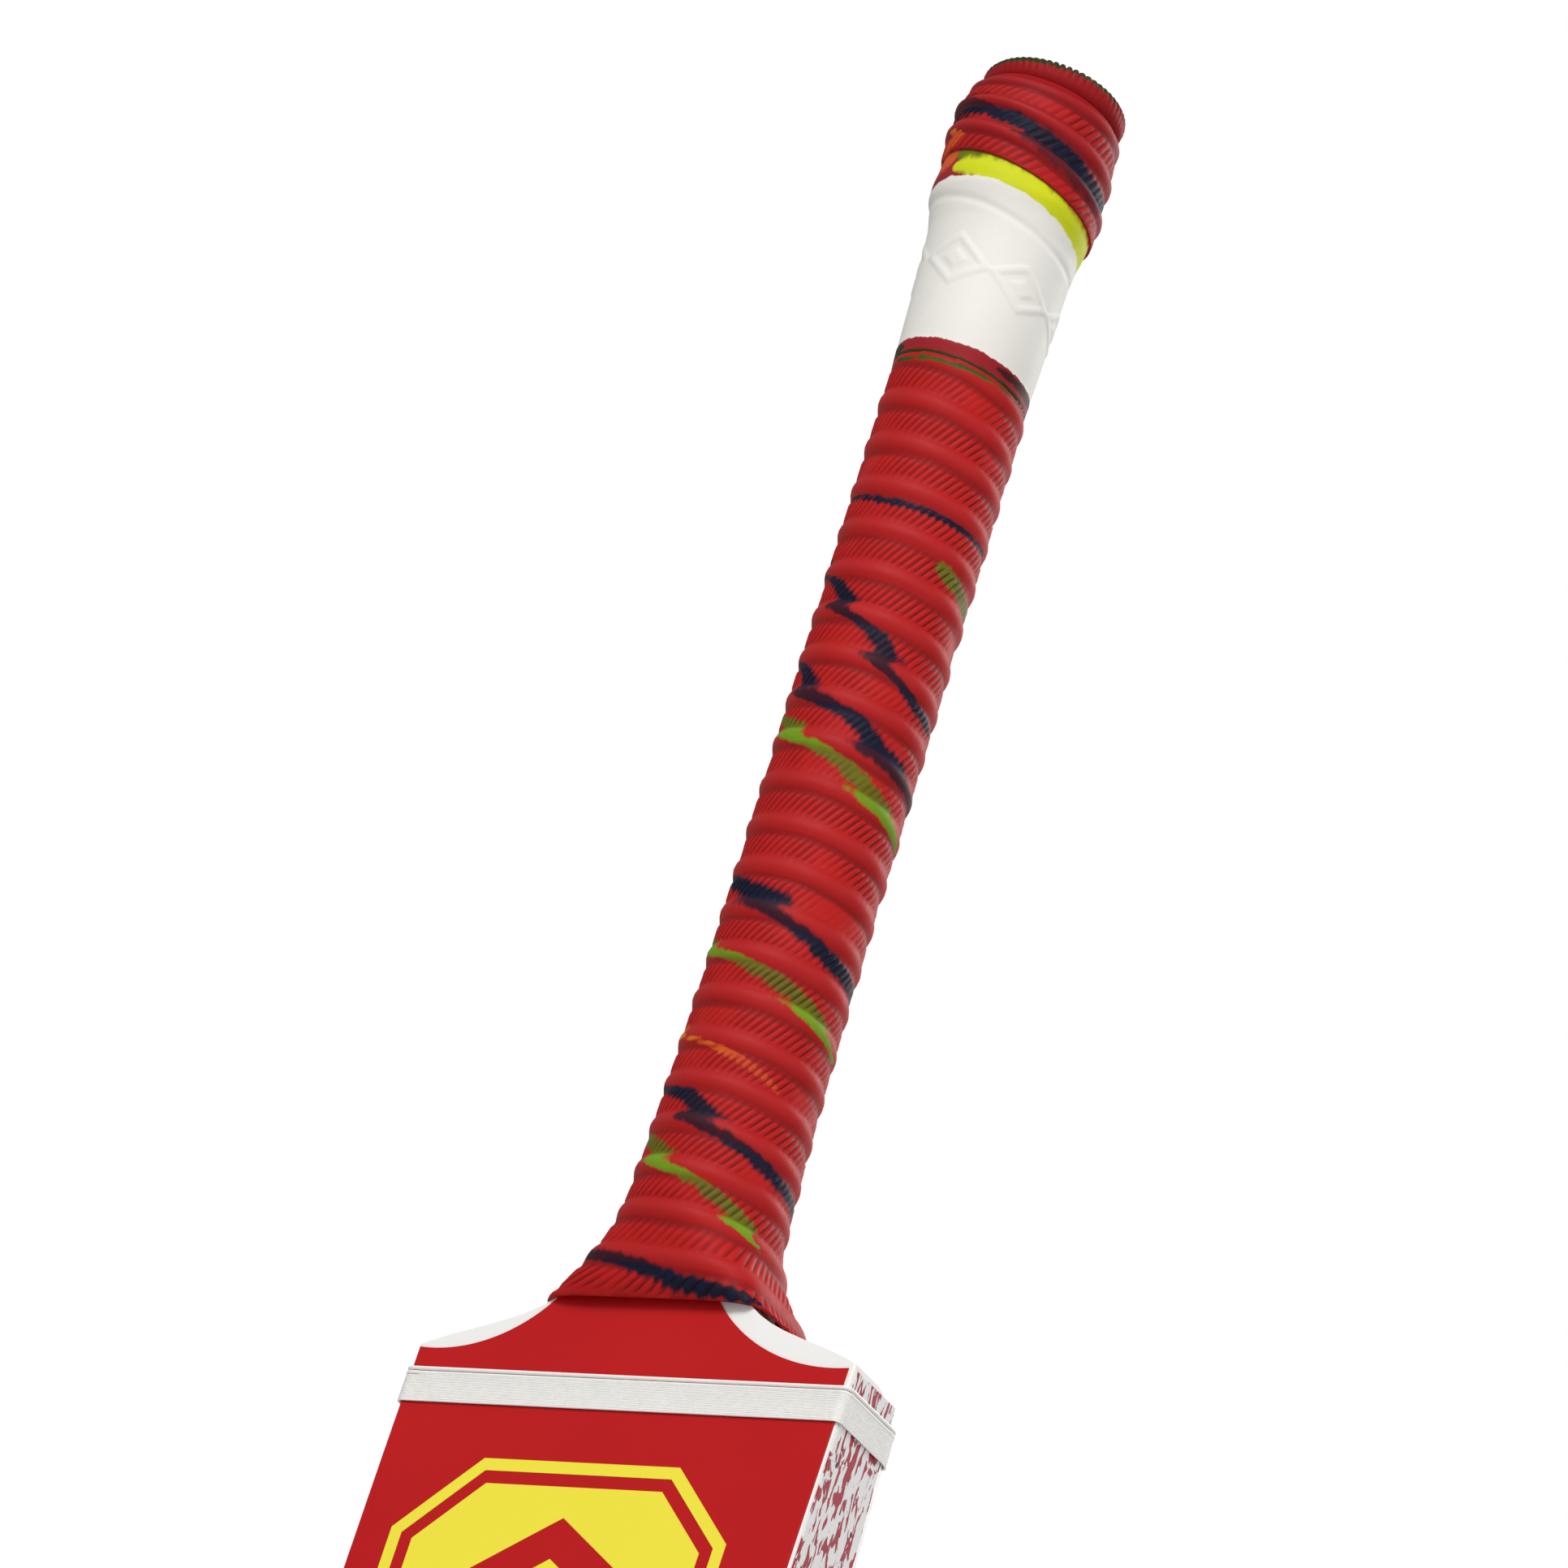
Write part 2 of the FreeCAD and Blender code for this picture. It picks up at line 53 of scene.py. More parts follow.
TONGUE = 30.0                                        # willow above the shoulder corners
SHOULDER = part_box("blade")[1].z / MM - TONGUE        # height of the shoulder corners above the toe
GRIP_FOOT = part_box("grip")[0].z / MM - SHOULDER
THREAD_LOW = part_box("blade_binding")[0].z / MM - SHOULDER
THREAD_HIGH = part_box("blade_binding")[1].z / MM - SHOULDER

# ---------------------------------------------------------------- camera

CAMERA_AZIMUTH = 35.51
CAMERA_ELEVATION = -23.5
CAMERA_ROLL = 17.05
CAMERA_DISTANCE = 3.0
CAMERA_LENS = 332.4
AIM = Vector((0.01985, -0.04706, SHOULDER * MM + 0.11463))


def make_camera():
    """Long lens from low on the right, rolled so that the handle leans."""
    azimuth = math.radians(CAMERA_AZIMUTH)
    elevation = math.radians(CAMERA_ELEVATION)
    roll = math.radians(CAMERA_ROLL)
    back = Vector((math.sin(azimuth) * math.cos(elevation),
                   -math.cos(azimuth) * math.cos(elevation), math.sin(elevation)))
    level = Vector((math.cos(azimuth), math.sin(azimuth), 0))
    upright = back.cross(level)
    right = level * math.cos(roll) + upright * math.sin(roll)
    up = back.cross(right)
    data = bpy.data.cameras.new("camera")
    data.lens = CAMERA_LENS
    data.sensor_width = 36
    data.clip_end = 50
    camera = bpy.data.objects.new("camera", data)
    bpy.context.scene.collection.objects.link(camera)
    camera.matrix_world = Matrix.Translation(AIM + back * CAMERA_DISTANCE) @ Matrix(
        (right, up, back)).transposed().to_4x4()
    bpy.context.scene.camera = camera


make_camera()

# ---------------------------------------------------------------- small helpers


def colour(text):
    """sRGB hex to linear RGBA."""
    channels = [int(text[at:at + 2], 16) / 255 for at in (1, 3, 5)]
    linear = [c / 12.92 if c <= 0.04045 else ((c + 0.055) / 1.055) ** 2.4 for c in channels]
    return (*linear, 1.0)


def add_node(tree, kind, inputs=None, out=0, **settings):
    """Adds one node with its settings; each input is a value or another node's output."""
    made = tree.nodes.new(kind)
    for name, value in settings.items():
        setattr(made, name, value)
    for socket, value in (inputs or {}).items():
        if isinstance(value, bpy.types.NodeSocket):
            tree.links.new(value, made.inputs[socket])
        else:
            made.inputs[socket].default_value = value
    return made.outputs[out] if made.outputs else made


def start_material(name):
    """An empty material, its tree and its Object coordinates."""
    material = bpy.data.materials.new(name)
    material.use_nodes = True
    tree = material.node_tree
    tree.nodes.clear()
    return material, tree, add_node(tree, "ShaderNodeTexCoord", out=3)


def end_material(material, tree, base, roughness, height, bump, extras=None):
    """Principled surface with a bump of the given depth in millimetres."""
    normal = add_node(tree, "ShaderNodeBump", {"Height": height, "Distance": bump * MM, "Strength": 1.0})
    shader = add_node(tree, "ShaderNodeBsdfPrincipled", {
        "Base Color": base, "Roughness": roughness, "Normal": normal, **(extras or {})})
    add_node(tree, "ShaderNodeOutputMaterial", {"Surface": shader})
    return material


def uneven_colour(tree, place, scale, detail, dark, pale):
    """Noise, and two shades that it runs into each other."""
    noise = add_node(tree, "ShaderNodeTexNoise", {"Vector": place, "Scale": scale, "Detail": detail})
    return noise, add_node(tree, "ShaderNodeMix", {0: noise, 6: colour(dark), 7: colour(pale)}, 2,
                           data_type="RGBA")


def finish_piece(obj, slot, *nodes):
    """Puts a piece in the root body and hides the nodes it stands for; the slot it is given is not used."""
    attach(obj, "root")
    if nodes:
        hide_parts(*nodes)
    return obj


def dress(node, material):
    """Gives a CAD node a material."""
    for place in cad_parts[node].material_slots:
        place.material = material


def place_object(name, data):
    """New object in the scene for a mesh or a lamp."""
    made = bpy.data.objects.new(name, data)
    bpy.context.scene.collection.objects.link(made)
    return made


def mesh_from(work, name, material):
    """Ends a bmesh as a mesh with one material."""
    mesh = bpy.data.meshes.new(name)
    work.to_mesh(mesh)
    work.free()
    mesh.materials.append(material)
    return mesh


def make_mesh(name, points, faces, material, edges=()):
    """Smooth mesh object from points in millimetres above the toe."""
    mesh = bpy.data.meshes.new(name)
    mesh.from_pydata((np.asarray(points, float) * MM).tolist(), edges, faces)
    if material:
        mesh.materials.append(material)
    mesh.polygons.foreach_set("use_smooth", [True] * len(mesh.polygons))
    return place_object(name, mesh)


def store(obj, name, values):
    """Named number for each point."""
    layer = obj.data.attributes.new(name, "FLOAT", "POINT")
    layer.data.foreach_set("value", np.asarray(values, np.float32))


def merge(obj, distance=0.002):
    """Joins points that lie together and drops faces that closed up."""
    work = bmesh.new()
    work.from_mesh(obj.data)
    bmesh.ops.remove_doubles(work, verts=work.verts, dist=distance * MM)
    bmesh.ops.dissolve_degenerate(work, edges=work.edges, dist=distance * MM * 0.1)
    work.to_mesh(obj.data)
    work.free()


def start_tree(name, sockets):
    """Geometry tree with named inputs."""
    tree = bpy.data.node_groups.new(name, "GeometryNodeTree")
    tree.interface.new_socket("Geometry", in_out="INPUT", socket_type="NodeSocketGeometry")
    for socket, (kind, value) in sockets.items():
        made = tree.interface.new_socket(socket, in_out="INPUT", socket_type=kind)
        if value is not None:
            made.default_value = value
    tree.interface.new_socket("Geometry", in_out="OUTPUT", socket_type="NodeSocketGeometry")
    return tree, tree.nodes.new("NodeGroupInput").outputs


def end_tree(tree, geometry, given):
    """Realize Instances and Set Material, then out."""
    real = add_node(tree, "GeometryNodeRealizeInstances", {0: geometry})
    dressed = add_node(tree, "GeometryNodeSetMaterial", {"Geometry": real, "Material": given["Material"]})
    add_node(tree, "NodeGroupOutput", {0: dressed})
    return tree


def run_tree(obj, tree, values):
    """Runs a geometry tree on a piece and keeps the result as a plain mesh."""
    modifier = obj.modifiers.new(tree.name, "NODES")
    modifier.node_group = tree
    sockets = {item.name: item.identifier for item in tree.interface.items_tree
               if item.item_type == "SOCKET" and item.in_out == "INPUT"}
    for name, value in values.items():
        modifier[sockets[name]] = value
    name = obj.name
    mesh = bpy.data.meshes.new_from_object(obj.evaluated_get(bpy.context.evaluated_depsgraph_get()))
    bpy.data.objects.remove(obj)
    return place_object(name, mesh)


def smoothstep(low, high, value):
    share = np.clip((value - low) / (high - low), 0, 1)
    return share * share * (3 - 2 * share)


def smooth_through(stations, at):
    """Curve through the stations' values, without overshoot (monotone cubic)."""
    table = np.asarray(stations, float)
    x, y = table[:, 0], table[:, 1:]
    slope = np.diff(y, axis=0) / np.diff(x)[:, None]
    tangent = np.zeros_like(y)
    same = slope[1:] * slope[:-1] > 0
    both = np.where(same, slope[1:] + slope[:-1], 1)
    tangent[1:-1] = np.where(same, 2 * slope[1:] * slope[:-1] / both, 0)
    tangent[0], tangent[-1] = slope[0], slope[-1]
    at = np.clip(at, x[0], x[-1])
    cell = np.clip(np.searchsorted(x, at) - 1, 0, len(x) - 2)
    width = x[cell + 1] - x[cell]
    t = ((at - x[cell]) / width)[..., None]
    width = width[..., None]
    return ((2 * t ** 3 - 3 * t ** 2 + 1) * y[cell] + (t ** 3 - 2 * t ** 2 + t) * width * tangent[cell]
            + (3 * t ** 2 - 2 * t ** 3) * y[cell + 1] + (t ** 3 - t ** 2) * width * tangent[cell + 1])


def surface_of(node):
    """Search tree of a CAD node's mesh, for finding points on its surface."""
    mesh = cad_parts[node].data
    return BVHTree.FromPolygons([v.co for v in mesh.vertices], [p.vertices for p in mesh.polygons])


# ---------------------------------------------------------------- grip shape

RIB_PITCH = 10.2
RIB_RELIEF = 0.8
RIDGE_SHARE = 0.58                 # smooth ridge's part of the pitch, the rest is toothed
TEETH = 53                         # teeth in one turn
RIDGE_SKEW = 1.35                  # over 1 leans the ridge's top towards the cap
RIDGE_ROUNDNESS = 1.2
BAND_EDGE = (0.245, 0.33)          # teeth fade in between these, as parts of the pitch from its middle
FLANK = 0.27                       # painted shade on the flank under a ridge, as a part of the pitch
FLANK_EDGE = (0.03, 0.12)
TOOTH_DEPTH = 0.45
TOOTH_ROUNDNESS = 0.6
TOOTH_WEAR = 0.9
TOOTH_LEAN = 35.0                  # degrees off the axis
COLUMNS_PER_TOOTH = 5
START_ANGLE = math.radians(-144.4)
RIDGE_HEIGHT = 72.8                # middle of a ridge at the start angle
ROWS_IN_PITCH = (0.0, 0.07, 0.14, 0.19, 0.24, 0.32, 0.41, 0.5, 0.59, 0.68, 0.76, 0.81, 0.86, 0.93)
LINING_STEPS = (0.001, 0.02, 0.04, 0.067, 0.094, 0.12, 0.2, 0.4, 0.7, 0.99)
WALL = 1.0

CAP_RIB_PITCH = 7.4                # the end is rolled on tighter
CAP_RIDGE_HEIGHT = 287.3
CAP_RIB_RELIEF = 1.05

LIP = 235.0                        # ribbed sleeve ends, smooth collar starts
WHITE_FOOT = 239.2
WHITE_TOP = 274.2
WHITE_RISE = 2.6                   # its upper edge rises this much more on one side
WHITE_TURN = math.radians(-30)     # which is to the right of the face
CAP_FOOT = 281.8
RIM_FOOT = 305.4

# Height, half width, half depth, rearward shift, squareness (2 is an ellipse); round above these.
FLARE = (
    (12.3, 27.2, 15.4, 3.4, 6.5),
    (15.0, 24.9, 16.0, 2.6, 5.0),
    (20.0, 21.3, 16.3, 1.7, 3.8),
    (26.0, 18.4, 16.5, 0.8, 2.8),
    (32.0, 17.3, 16.6, 0.3, 2.2),
    (38.0, 16.8, 16.8, 0.0, 2.0),
)
SLEEVE = (
    (38.0, 16.8), (56.0, 16.1), (75.0, 15.65), (100.0, 15.3), (130.0, 15.2), (190.0, 15.05),
    (232.0, 14.95), (243.0, 15.4), (262.0, 15.95), (270.0, 16.45), (272.0, 16.8), (274.0, 17.25),
    (276.0, 17.85), (278.0, 18.3), (280.0, 18.3), (284.0, 17.85), (290.0, 17.8), (297.0, 17.6),
    (300.0, 17.3), (302.0, 16.8), (304.0, 16.0), (306.0, 14.8), (309.0, 14.0),
)
GIRTH = 15.8                       # radius used to turn angles into lengths round the grip

# The grip's end sits skewed on the handle: height and how far it is raised on its high side.
SKEW = ((205.0, 0.0), (235.0, 1.8), (240.0, 1.8), (274.0, 5.0), (291.0, 5.5), (306.0, 1.0), (309.0, 0.6))
SKEW_ANGLE = math.radians(-52)


def skew(angle, height):
    stations = np.array(SKEW)
    return -np.interp(height, stations[:, 0], stations[:, 1]) * np.sin(angle - SKEW_ANGLE)


def on_grip(angle, height, inset=0.0):
    """Points on the smooth grip, less the inset; its bands are skewed, the shape under them is not."""
    level = height + skew(angle, height)
    flare = smooth_through(FLARE, height)
    radius = smooth_through(SLEEVE, np.maximum(level, FLARE[-1][0]))[..., 0]
    flared = height < FLARE[-1][0]
    half_x = np.where(flared, flare[..., 0], radius) - inset
    half_y = np.where(flared, flare[..., 1], radius) - inset
    shift = np.where(flared, flare[..., 2], 0.0)
    square = np.where(flared, flare[..., 3], 2.0)
    across, along = np.cos(angle), np.sin(angle)
    size = (np.abs(across) ** square + np.abs(along) ** square) ** (-1 / square)
    return np.stack([half_x * across * size, shift + half_y * along * size, SHOULDER + level], -1)


def ring_faces(first, second, columns, flip=False):
    """Quads between two rings of points, given by the index each starts at."""
    faces = []
    for column in range(columns):
        following = (column + 1) % columns
        quad = (first + column, first + following, second + following, second + column)
        faces.append(quad[::-1] if flip else quad)
    return faces


def closed_ring(name, rows, columns, material):
    """Mesh from rings of points, the last joined to the first."""
    faces = []
    for row in range(len(rows)):
        faces += ring_faces(row * columns, (row + 1) % len(rows) * columns, columns)
    return make_mesh(name, rows.reshape(-1, 3), faces, material)


def ribbed_sleeve(name, low, high, pitch, ridge, wound, fade):
    """Rows follow the ribs (wound 1 for a helix, 0 for rings) and columns lean with the teeth."""
    columns = TEETH * COLUMNS_PER_TOOTH
    step = np.arange(columns)
    first = math.floor((low - ridge) / pitch) - 1
    last = math.ceil((high - ridge) / pitch) + 2
    ribs = np.array([rib + part for rib in range(first, last + 1) for part in ROWS_IN_PITCH])
    height = ridge + (ribs[:, None] - 0.5 - wound * step[None, :] / columns) * pitch
    height = np.clip(height, low, high)
    lean = math.tan(math.radians(TOOTH_LEAN)) / GIRTH
    turned = START_ANGLE + 2 * math.pi * step / columns + (height - LIP) * lean
    count = (height - ridge) / pitch + 0.5 + wound * (turned - START_ANGLE) / (2 * math.pi)
    faces = []
    for column in range(columns):
        following = (column + 1) % columns
        drop = wound * len(ROWS_IN_PITCH) if following == 0 else 0
        for row in range(len(ribs) - 1):
            below, above = max(row - drop, 0), max(row + 1 - drop, 0)
            faces.append((row * columns + column, below * columns + following,
                          above * columns + following, (row + 1) * columns + column))
    outside = on_grip(turned, height).reshape(-1, 3)
    lining = []
    for part in LINING_STEPS:
        level = np.full(columns, low + (high - low) * part)
        angle = START_ANGLE + 2 * math.pi * step / columns + (level - LIP) * lean
        lining.append(on_grip(angle, level, WALL))
    start = len(outside)
    for row in range(len(LINING_STEPS) - 1):
        faces += ring_faces(start + row * columns, start + (row + 1) * columns, columns, flip=True)
    faces += ring_faces(0, start, columns, flip=True)
    faces += ring_faces((len(ribs) - 1) * columns, start + (len(LINING_STEPS) - 1) * columns, columns)
    obj = make_mesh(name, np.concatenate([outside, np.concatenate(lining)]), faces, None)
    inside = np.zeros(len(LINING_STEPS) * columns)
    tooth = np.broadcast_to(step / COLUMNS_PER_TOOTH, height.shape)
    for attribute, values in (("rib", count), ("tooth", tooth), ("fade", fade(height))):
        store(obj, attribute, np.concatenate([values.ravel(), inside]))
    merge(obj)
    return obj


def rib_tree():
    """Raises ridges and toothed bands along the stored counts, and notes where they are."""
    tree, given = start_tree("grip_ribs", {
        "Rib Relief": ("NodeSocketFloat", RIB_RELIEF * MM),
        "Ridge Share": ("NodeSocketFloat", RIDGE_SHARE),
        "Ridge Skew": ("NodeSocketFloat", RIDGE_SKEW),
        "Flank": ("NodeSocketFloat", FLANK),
        "Tooth Depth": ("NodeSocketFloat", TOOTH_DEPTH * MM),
        "Wear": ("NodeSocketFloat", TOOTH_WEAR),
        "Material": ("NodeSocketMaterial", None)})
    rib, tooth, fade = (add_node(tree, "GeometryNodeInputNamedAttribute", {"Name": name})
                        for name in ("rib", "tooth", "fade"))
    part = add_node(tree, "ShaderNodeMath", {0: rib}, operation="FRACT")
    edge = add_node(tree, "ShaderNodeMath", {0: 0.5, 1: given["Ridge Share"], 2: 0.5},
                    operation="MULTIPLY_ADD")
    foot = add_node(tree, "ShaderNodeMath", {0: 1.0, 1: edge}, operation="SUBTRACT")
    across = add_node(tree, "ShaderNodeMapRange", {
        "Value": part, "From Min": foot, "From Max": edge, "To Min": 0.0, "To Max": 1.0})
    skewed = add_node(tree, "ShaderNodeMath", {0: across, 1: given["Ridge Skew"]}, operation="POWER")
    swell = add_node(tree, "ShaderNodeMath", {0: skewed, 1: math.pi}, operation="MULTIPLY")
    arch = add_node(tree, "ShaderNodeMath", {0: swell}, operation="SINE")
    ridge = add_node(tree, "ShaderNodeMath", {0: arch, 1: RIDGE_ROUNDNESS}, operation="POWER")
    centred = add_node(tree, "ShaderNodeMath", {0: part, 1: 0.5}, operation="SUBTRACT")
    away = add_node(tree, "ShaderNodeMath", {0: centred}, operation="ABSOLUTE")
    band = add_node(tree, "ShaderNodeMapRange", {
        "Value": away, "From Min": BAND_EDGE[0], "From Max": BAND_EDGE[1], "To Min": 0.0, "To Max": 1.0},
        interpolation_type="SMOOTHSTEP")
    from_flank = add_node(tree, "ShaderNodeMath", {0: part, 1: given["Flank"]}, operation="SUBTRACT")
    from_flank = add_node(tree, "ShaderNodeMath", {0: from_flank}, operation="ABSOLUTE")
    flank = add_node(tree, "ShaderNodeMapRange", {
        "Value": from_flank, "From Min": FLANK_EDGE[0],
        "From Max": FLANK_EDGE[1], "To Min": 1.0, "To Max": 0.0},
        interpolation_type="SMOOTHSTEP")
    turn = add_node(tree, "ShaderNodeMath", {0: tooth, 1: math.pi}, operation="MULTIPLY")
    wave = add_node(tree, "ShaderNodeMath", {0: turn}, operation="SINE")
    folded = add_node(tree, "ShaderNodeMath", {0: wave}, operation="ABSOLUTE")
    cord = add_node(tree, "ShaderNodeMath", {0: folded, 1: TOOTH_ROUNDNESS}, operation="POWER")
    patches = add_node(tree, "ShaderNodeTexNoise", {"Scale": 70.0, "Detail": 2.0})
    worn = add_node(tree, "ShaderNodeMapRange", {
        "Value": patches, "From Min": 0.48, "From Max": 0.7, "To Min": 0.0, "To Max": given["Wear"]})
    kept = add_node(tree, "ShaderNodeMath", {0: 1.0, 1: worn}, operation="SUBTRACT")
    cord_band = add_node(tree, "ShaderNodeMath", {0: cord, 1: band}, operation="MULTIPLY")
    cord_kept = add_node(tree, "ShaderNodeMath", {0: cord_band, 1: kept}, operation="MULTIPLY")
    teeth = add_node(tree, "ShaderNodeMath", {0: cord_kept, 1: given["Tooth Depth"]}, operation="MULTIPLY")
    raised = add_node(tree, "ShaderNodeMath", {0: ridge, 1: given["Rib Relief"], 2: teeth},
                      operation="MULTIPLY_ADD")
    faded = add_node(tree, "ShaderNodeMath", {0: raised, 1: fade}, operation="MULTIPLY")
    offset = add_node(tree, "ShaderNodeVectorMath", {
        0: add_node(tree, "GeometryNodeInputNormal"), "Scale": faded}, operation="SCALE")
    hollow = add_node(tree, "ShaderNodeMath", {0: 1.0, 1: cord}, operation="SUBTRACT")
    hollow_band = add_node(tree, "ShaderNodeMath", {0: hollow, 1: band}, operation="MULTIPLY")
    hollow_kept = add_node(tree, "ShaderNodeMath", {0: hollow_band, 1: kept}, operation="MULTIPLY")
    shape = add_node(tree, "GeometryNodeSetPosition", {"Geometry": given["Geometry"], "Offset": offset})
    for name, value in (("ridge", ridge), ("band", band), ("flank", flank), ("groove", hollow_kept)):
        seen = add_node(tree, "ShaderNodeMath", {0: value, 1: fade}, operation="MULTIPLY")
        shape = add_node(tree, "GeometryNodeStoreNamedAttribute", {
            "Geometry": shape, "Name": name, "Value": seen}, data_type="FLOAT", domain="POINT")
    return end_tree(tree, shape, given)


# ---------------------------------------------------------------- grip colours

# Marbled streaks: colour, half width, then angle and height along the streak.
STREAKS = (
    ("navy", 0.9, ((-135, 203), (-90, 200.4), (-40, 199.2), (30, 198.8))),
    ("green", 2.0, ((-30, 188.5), (-8, 187.2), (34, 183.5))),
    ("navy", 2.0, ((-150, 190), (-98, 177.5), (-78, 172.7), (-56, 167.3), (-34, 161.9), (-12, 157.3),
                   (20, 155))),
    ("navy", 2.2, ((-150, 168), (-100, 154.5), (-76, 151.3), (-53, 148.0), (-28, 143.3), (6, 141),
                   (60, 137))),
    ("green", 2.0, ((-140, 150), (-79, 141.4), (-48, 136.8), (-18, 132.9), (38, 127.5))),
    ("navy", 2.4, ((-150, 112.5), (-95, 105.6), (-73, 103.9), (-49, 99.0), (-24, 95.4), (45, 92.0))),
    ("green", 1.8, ((-155, 98), (-88, 89.9), (-55, 86.0), (-24, 82.9), (32, 77))),
    ("gold", 0.95, ((-135, 75.9), (-85, 68.9), (-60, 66.3), (-30, 62.4))),
    ("navy", 2.1, ((-150, 63), (-97, 57.3), (-78, 52.9), (-48, 48.4), (-15, 45.0), (45, 41.0))),
    ("green", 1.7, ((-165, 54), (-105, 44.1), (-85, 40.3), (-54, 35.5), (0, 28.0))),
    ("navy", 2.1, ((-165, 24), (-104, 18.9), (-83, 17.3), (-64, 15.2), (-20, 13.2))),
    ("moss", 0.5, ((-160, 234.4), (-60, 234.0), (30, 234.1))),
)
CAP_STREAKS = (
    ("navy", 1.9, ((-122, 291.8), (-80, 291.4), (-40, 291.0), (0, 290.4), (60, 290.0))),
    ("maroon", 3.8, ((-200, 291.5), (-160, 292.5), (-124, 293.2), (-92, 293.6))),
    ("maroon", 2.2, ((-60, 289.6), (-20, 288.6), (30, 288.0))),
    ("gold", 1.6, ((-140, 282), (-124, 284), (-112, 286.5))),
    ("moss", 1.2, ((-150, 308.6), (-100, 309.6), (-60, 309.9), (-20, 309.6), (20, 308.8), (60, 308.0))),
)
BAND_STREAKS = (
    ("gold", 2.6, ((-150, 278), (-128, 279.5), (-114, 281))),
    ("green", 3.4, ((-111, 280.6), (-92, 280.4), (-60, 280.4), (-20, 280.0))),
    ("lime", 3.6, ((-108, 277.4), (-70, 278.2), (-30, 278.4), (30, 277.6), (75, 276.0))),
    ("moss", 0.6, ((-160, 235.9), (-110, 235.8), (-60, 235.4), (-20, 235.3), (40, 235.2))),
    ("moss", 1.7, ((-190, 237.2), (-150, 237.3), (-122, 237.4))),
    ("maroon", 1.0, ((-30, 237.6), (0, 237.8), (60, 237.6))),
)
# Pigments marbled into the red: at full strength, and where they thin out on the ridges.
PIGMENTS = {
    "gold": ("#C8421A", "#D87A1E"),
    "green": ("#66600F", "#6F9617"),
    "lime": ("#C4CC18", "#DEDC1A"),
    "maroon": ("#3C0C14", "#5C141C"),
    "moss": ("#26300C", "#4A5C14"),
    "navy": ("#0B112B", "#380F1E"),
}
HIDDEN_STREAKS = 16
HIDDEN_START = (45, 120)           # angles that they start between
HIDDEN_FOOT = 24
HIDDEN_SPAN = 200                  # of height, from the foot up
HIDDEN_REACH = (55, 125)           # degrees round the grip
HIDDEN_FALL = (8, 26)
RIDGE_SHIFT = 5.0                  # streaks lie this much further round on a ridge
TOOTH_SHIFT = 1.1                  # and are notched this deep by the teeth


def hidden_streaks():
    """More streaks of the same kind round the back of the grip."""
    dice = random.Random(41)
    made = []
    for number in range(HIDDEN_STREAKS):
        angle = dice.uniform(*HIDDEN_START)
        height = HIDDEN_FOOT + HIDDEN_SPAN * (number + dice.uniform(0.1, 0.9)) / HIDDEN_STREAKS
        reach = dice.uniform(*HIDDEN_REACH)
        fall = dice.uniform(*HIDDEN_FALL)
        name = dice.choice(("navy", "navy", "green", "green", "gold"))
        half = 0.7 if name == "gold" else dice.uniform(1.2, 2.3)
        middle = (angle + reach * 0.45, height - fall * dice.uniform(0.3, 0.6))
        made.append((name, half, ((angle, height), middle, (angle + reach, height - fall))))
    return tuple(made)


def paint(obj, streaks):
    """Stores, for each colour, how deep inside a streak a point is (1 at its middle, 0 off it)."""
    flat = np.empty(len(obj.data.vertices) * 3)
    obj.data.vertices.foreach_get("co", flat)
    places = flat.reshape(-1, 3) / MM
    angle = np.arctan2(places[:, 1], places[:, 0])
    height = places[:, 2] - SHOULDER
    height = height - skew(angle, height - skew(angle, height))
    ribbed = {}
    for name in ("ridge", "band", "tooth"):
        ribbed[name] = np.zeros(len(height))
        if name in obj.data.attributes:
            obj.data.attributes[name].data.foreach_get("value", ribbed[name])
    notch = (ribbed["tooth"] % 1 - 0.5) * ribbed["band"]
    here = np.stack([angle * GIRTH + RIDGE_SHIFT * ribbed["ridge"], height + TOOTH_SHIFT * notch], -1)
    masks = {name: np.zeros(len(height)) for name in PIGMENTS}
    for name, half, route in streaks:
        spans = len(route) - 1
        for turn in (-2 * math.pi, 0, 2 * math.pi):
            for index, (start, end) in enumerate(zip(route, route[1:])):
                a = np.array([(math.radians(start[0]) + turn) * GIRTH, start[1]])
                b = np.array([(math.radians(end[0]) + turn) * GIRTH, end[1]])
                along = np.clip(((here - a) @ (b - a)) / ((b - a) @ (b - a)), 0, 1)
                away = np.linalg.norm(here - a - along[:, None] * (b - a), axis=1)
                part = (index + along) / spans
                taper = half * (0.3 + 0.7 * np.sqrt(np.clip(4 * part * (1 - part), 0, 1)))
                masks[name] = np.maximum(masks[name], 1 - away / (2 * taper))
    for name in PIGMENTS:
        store(obj, name, masks[name])


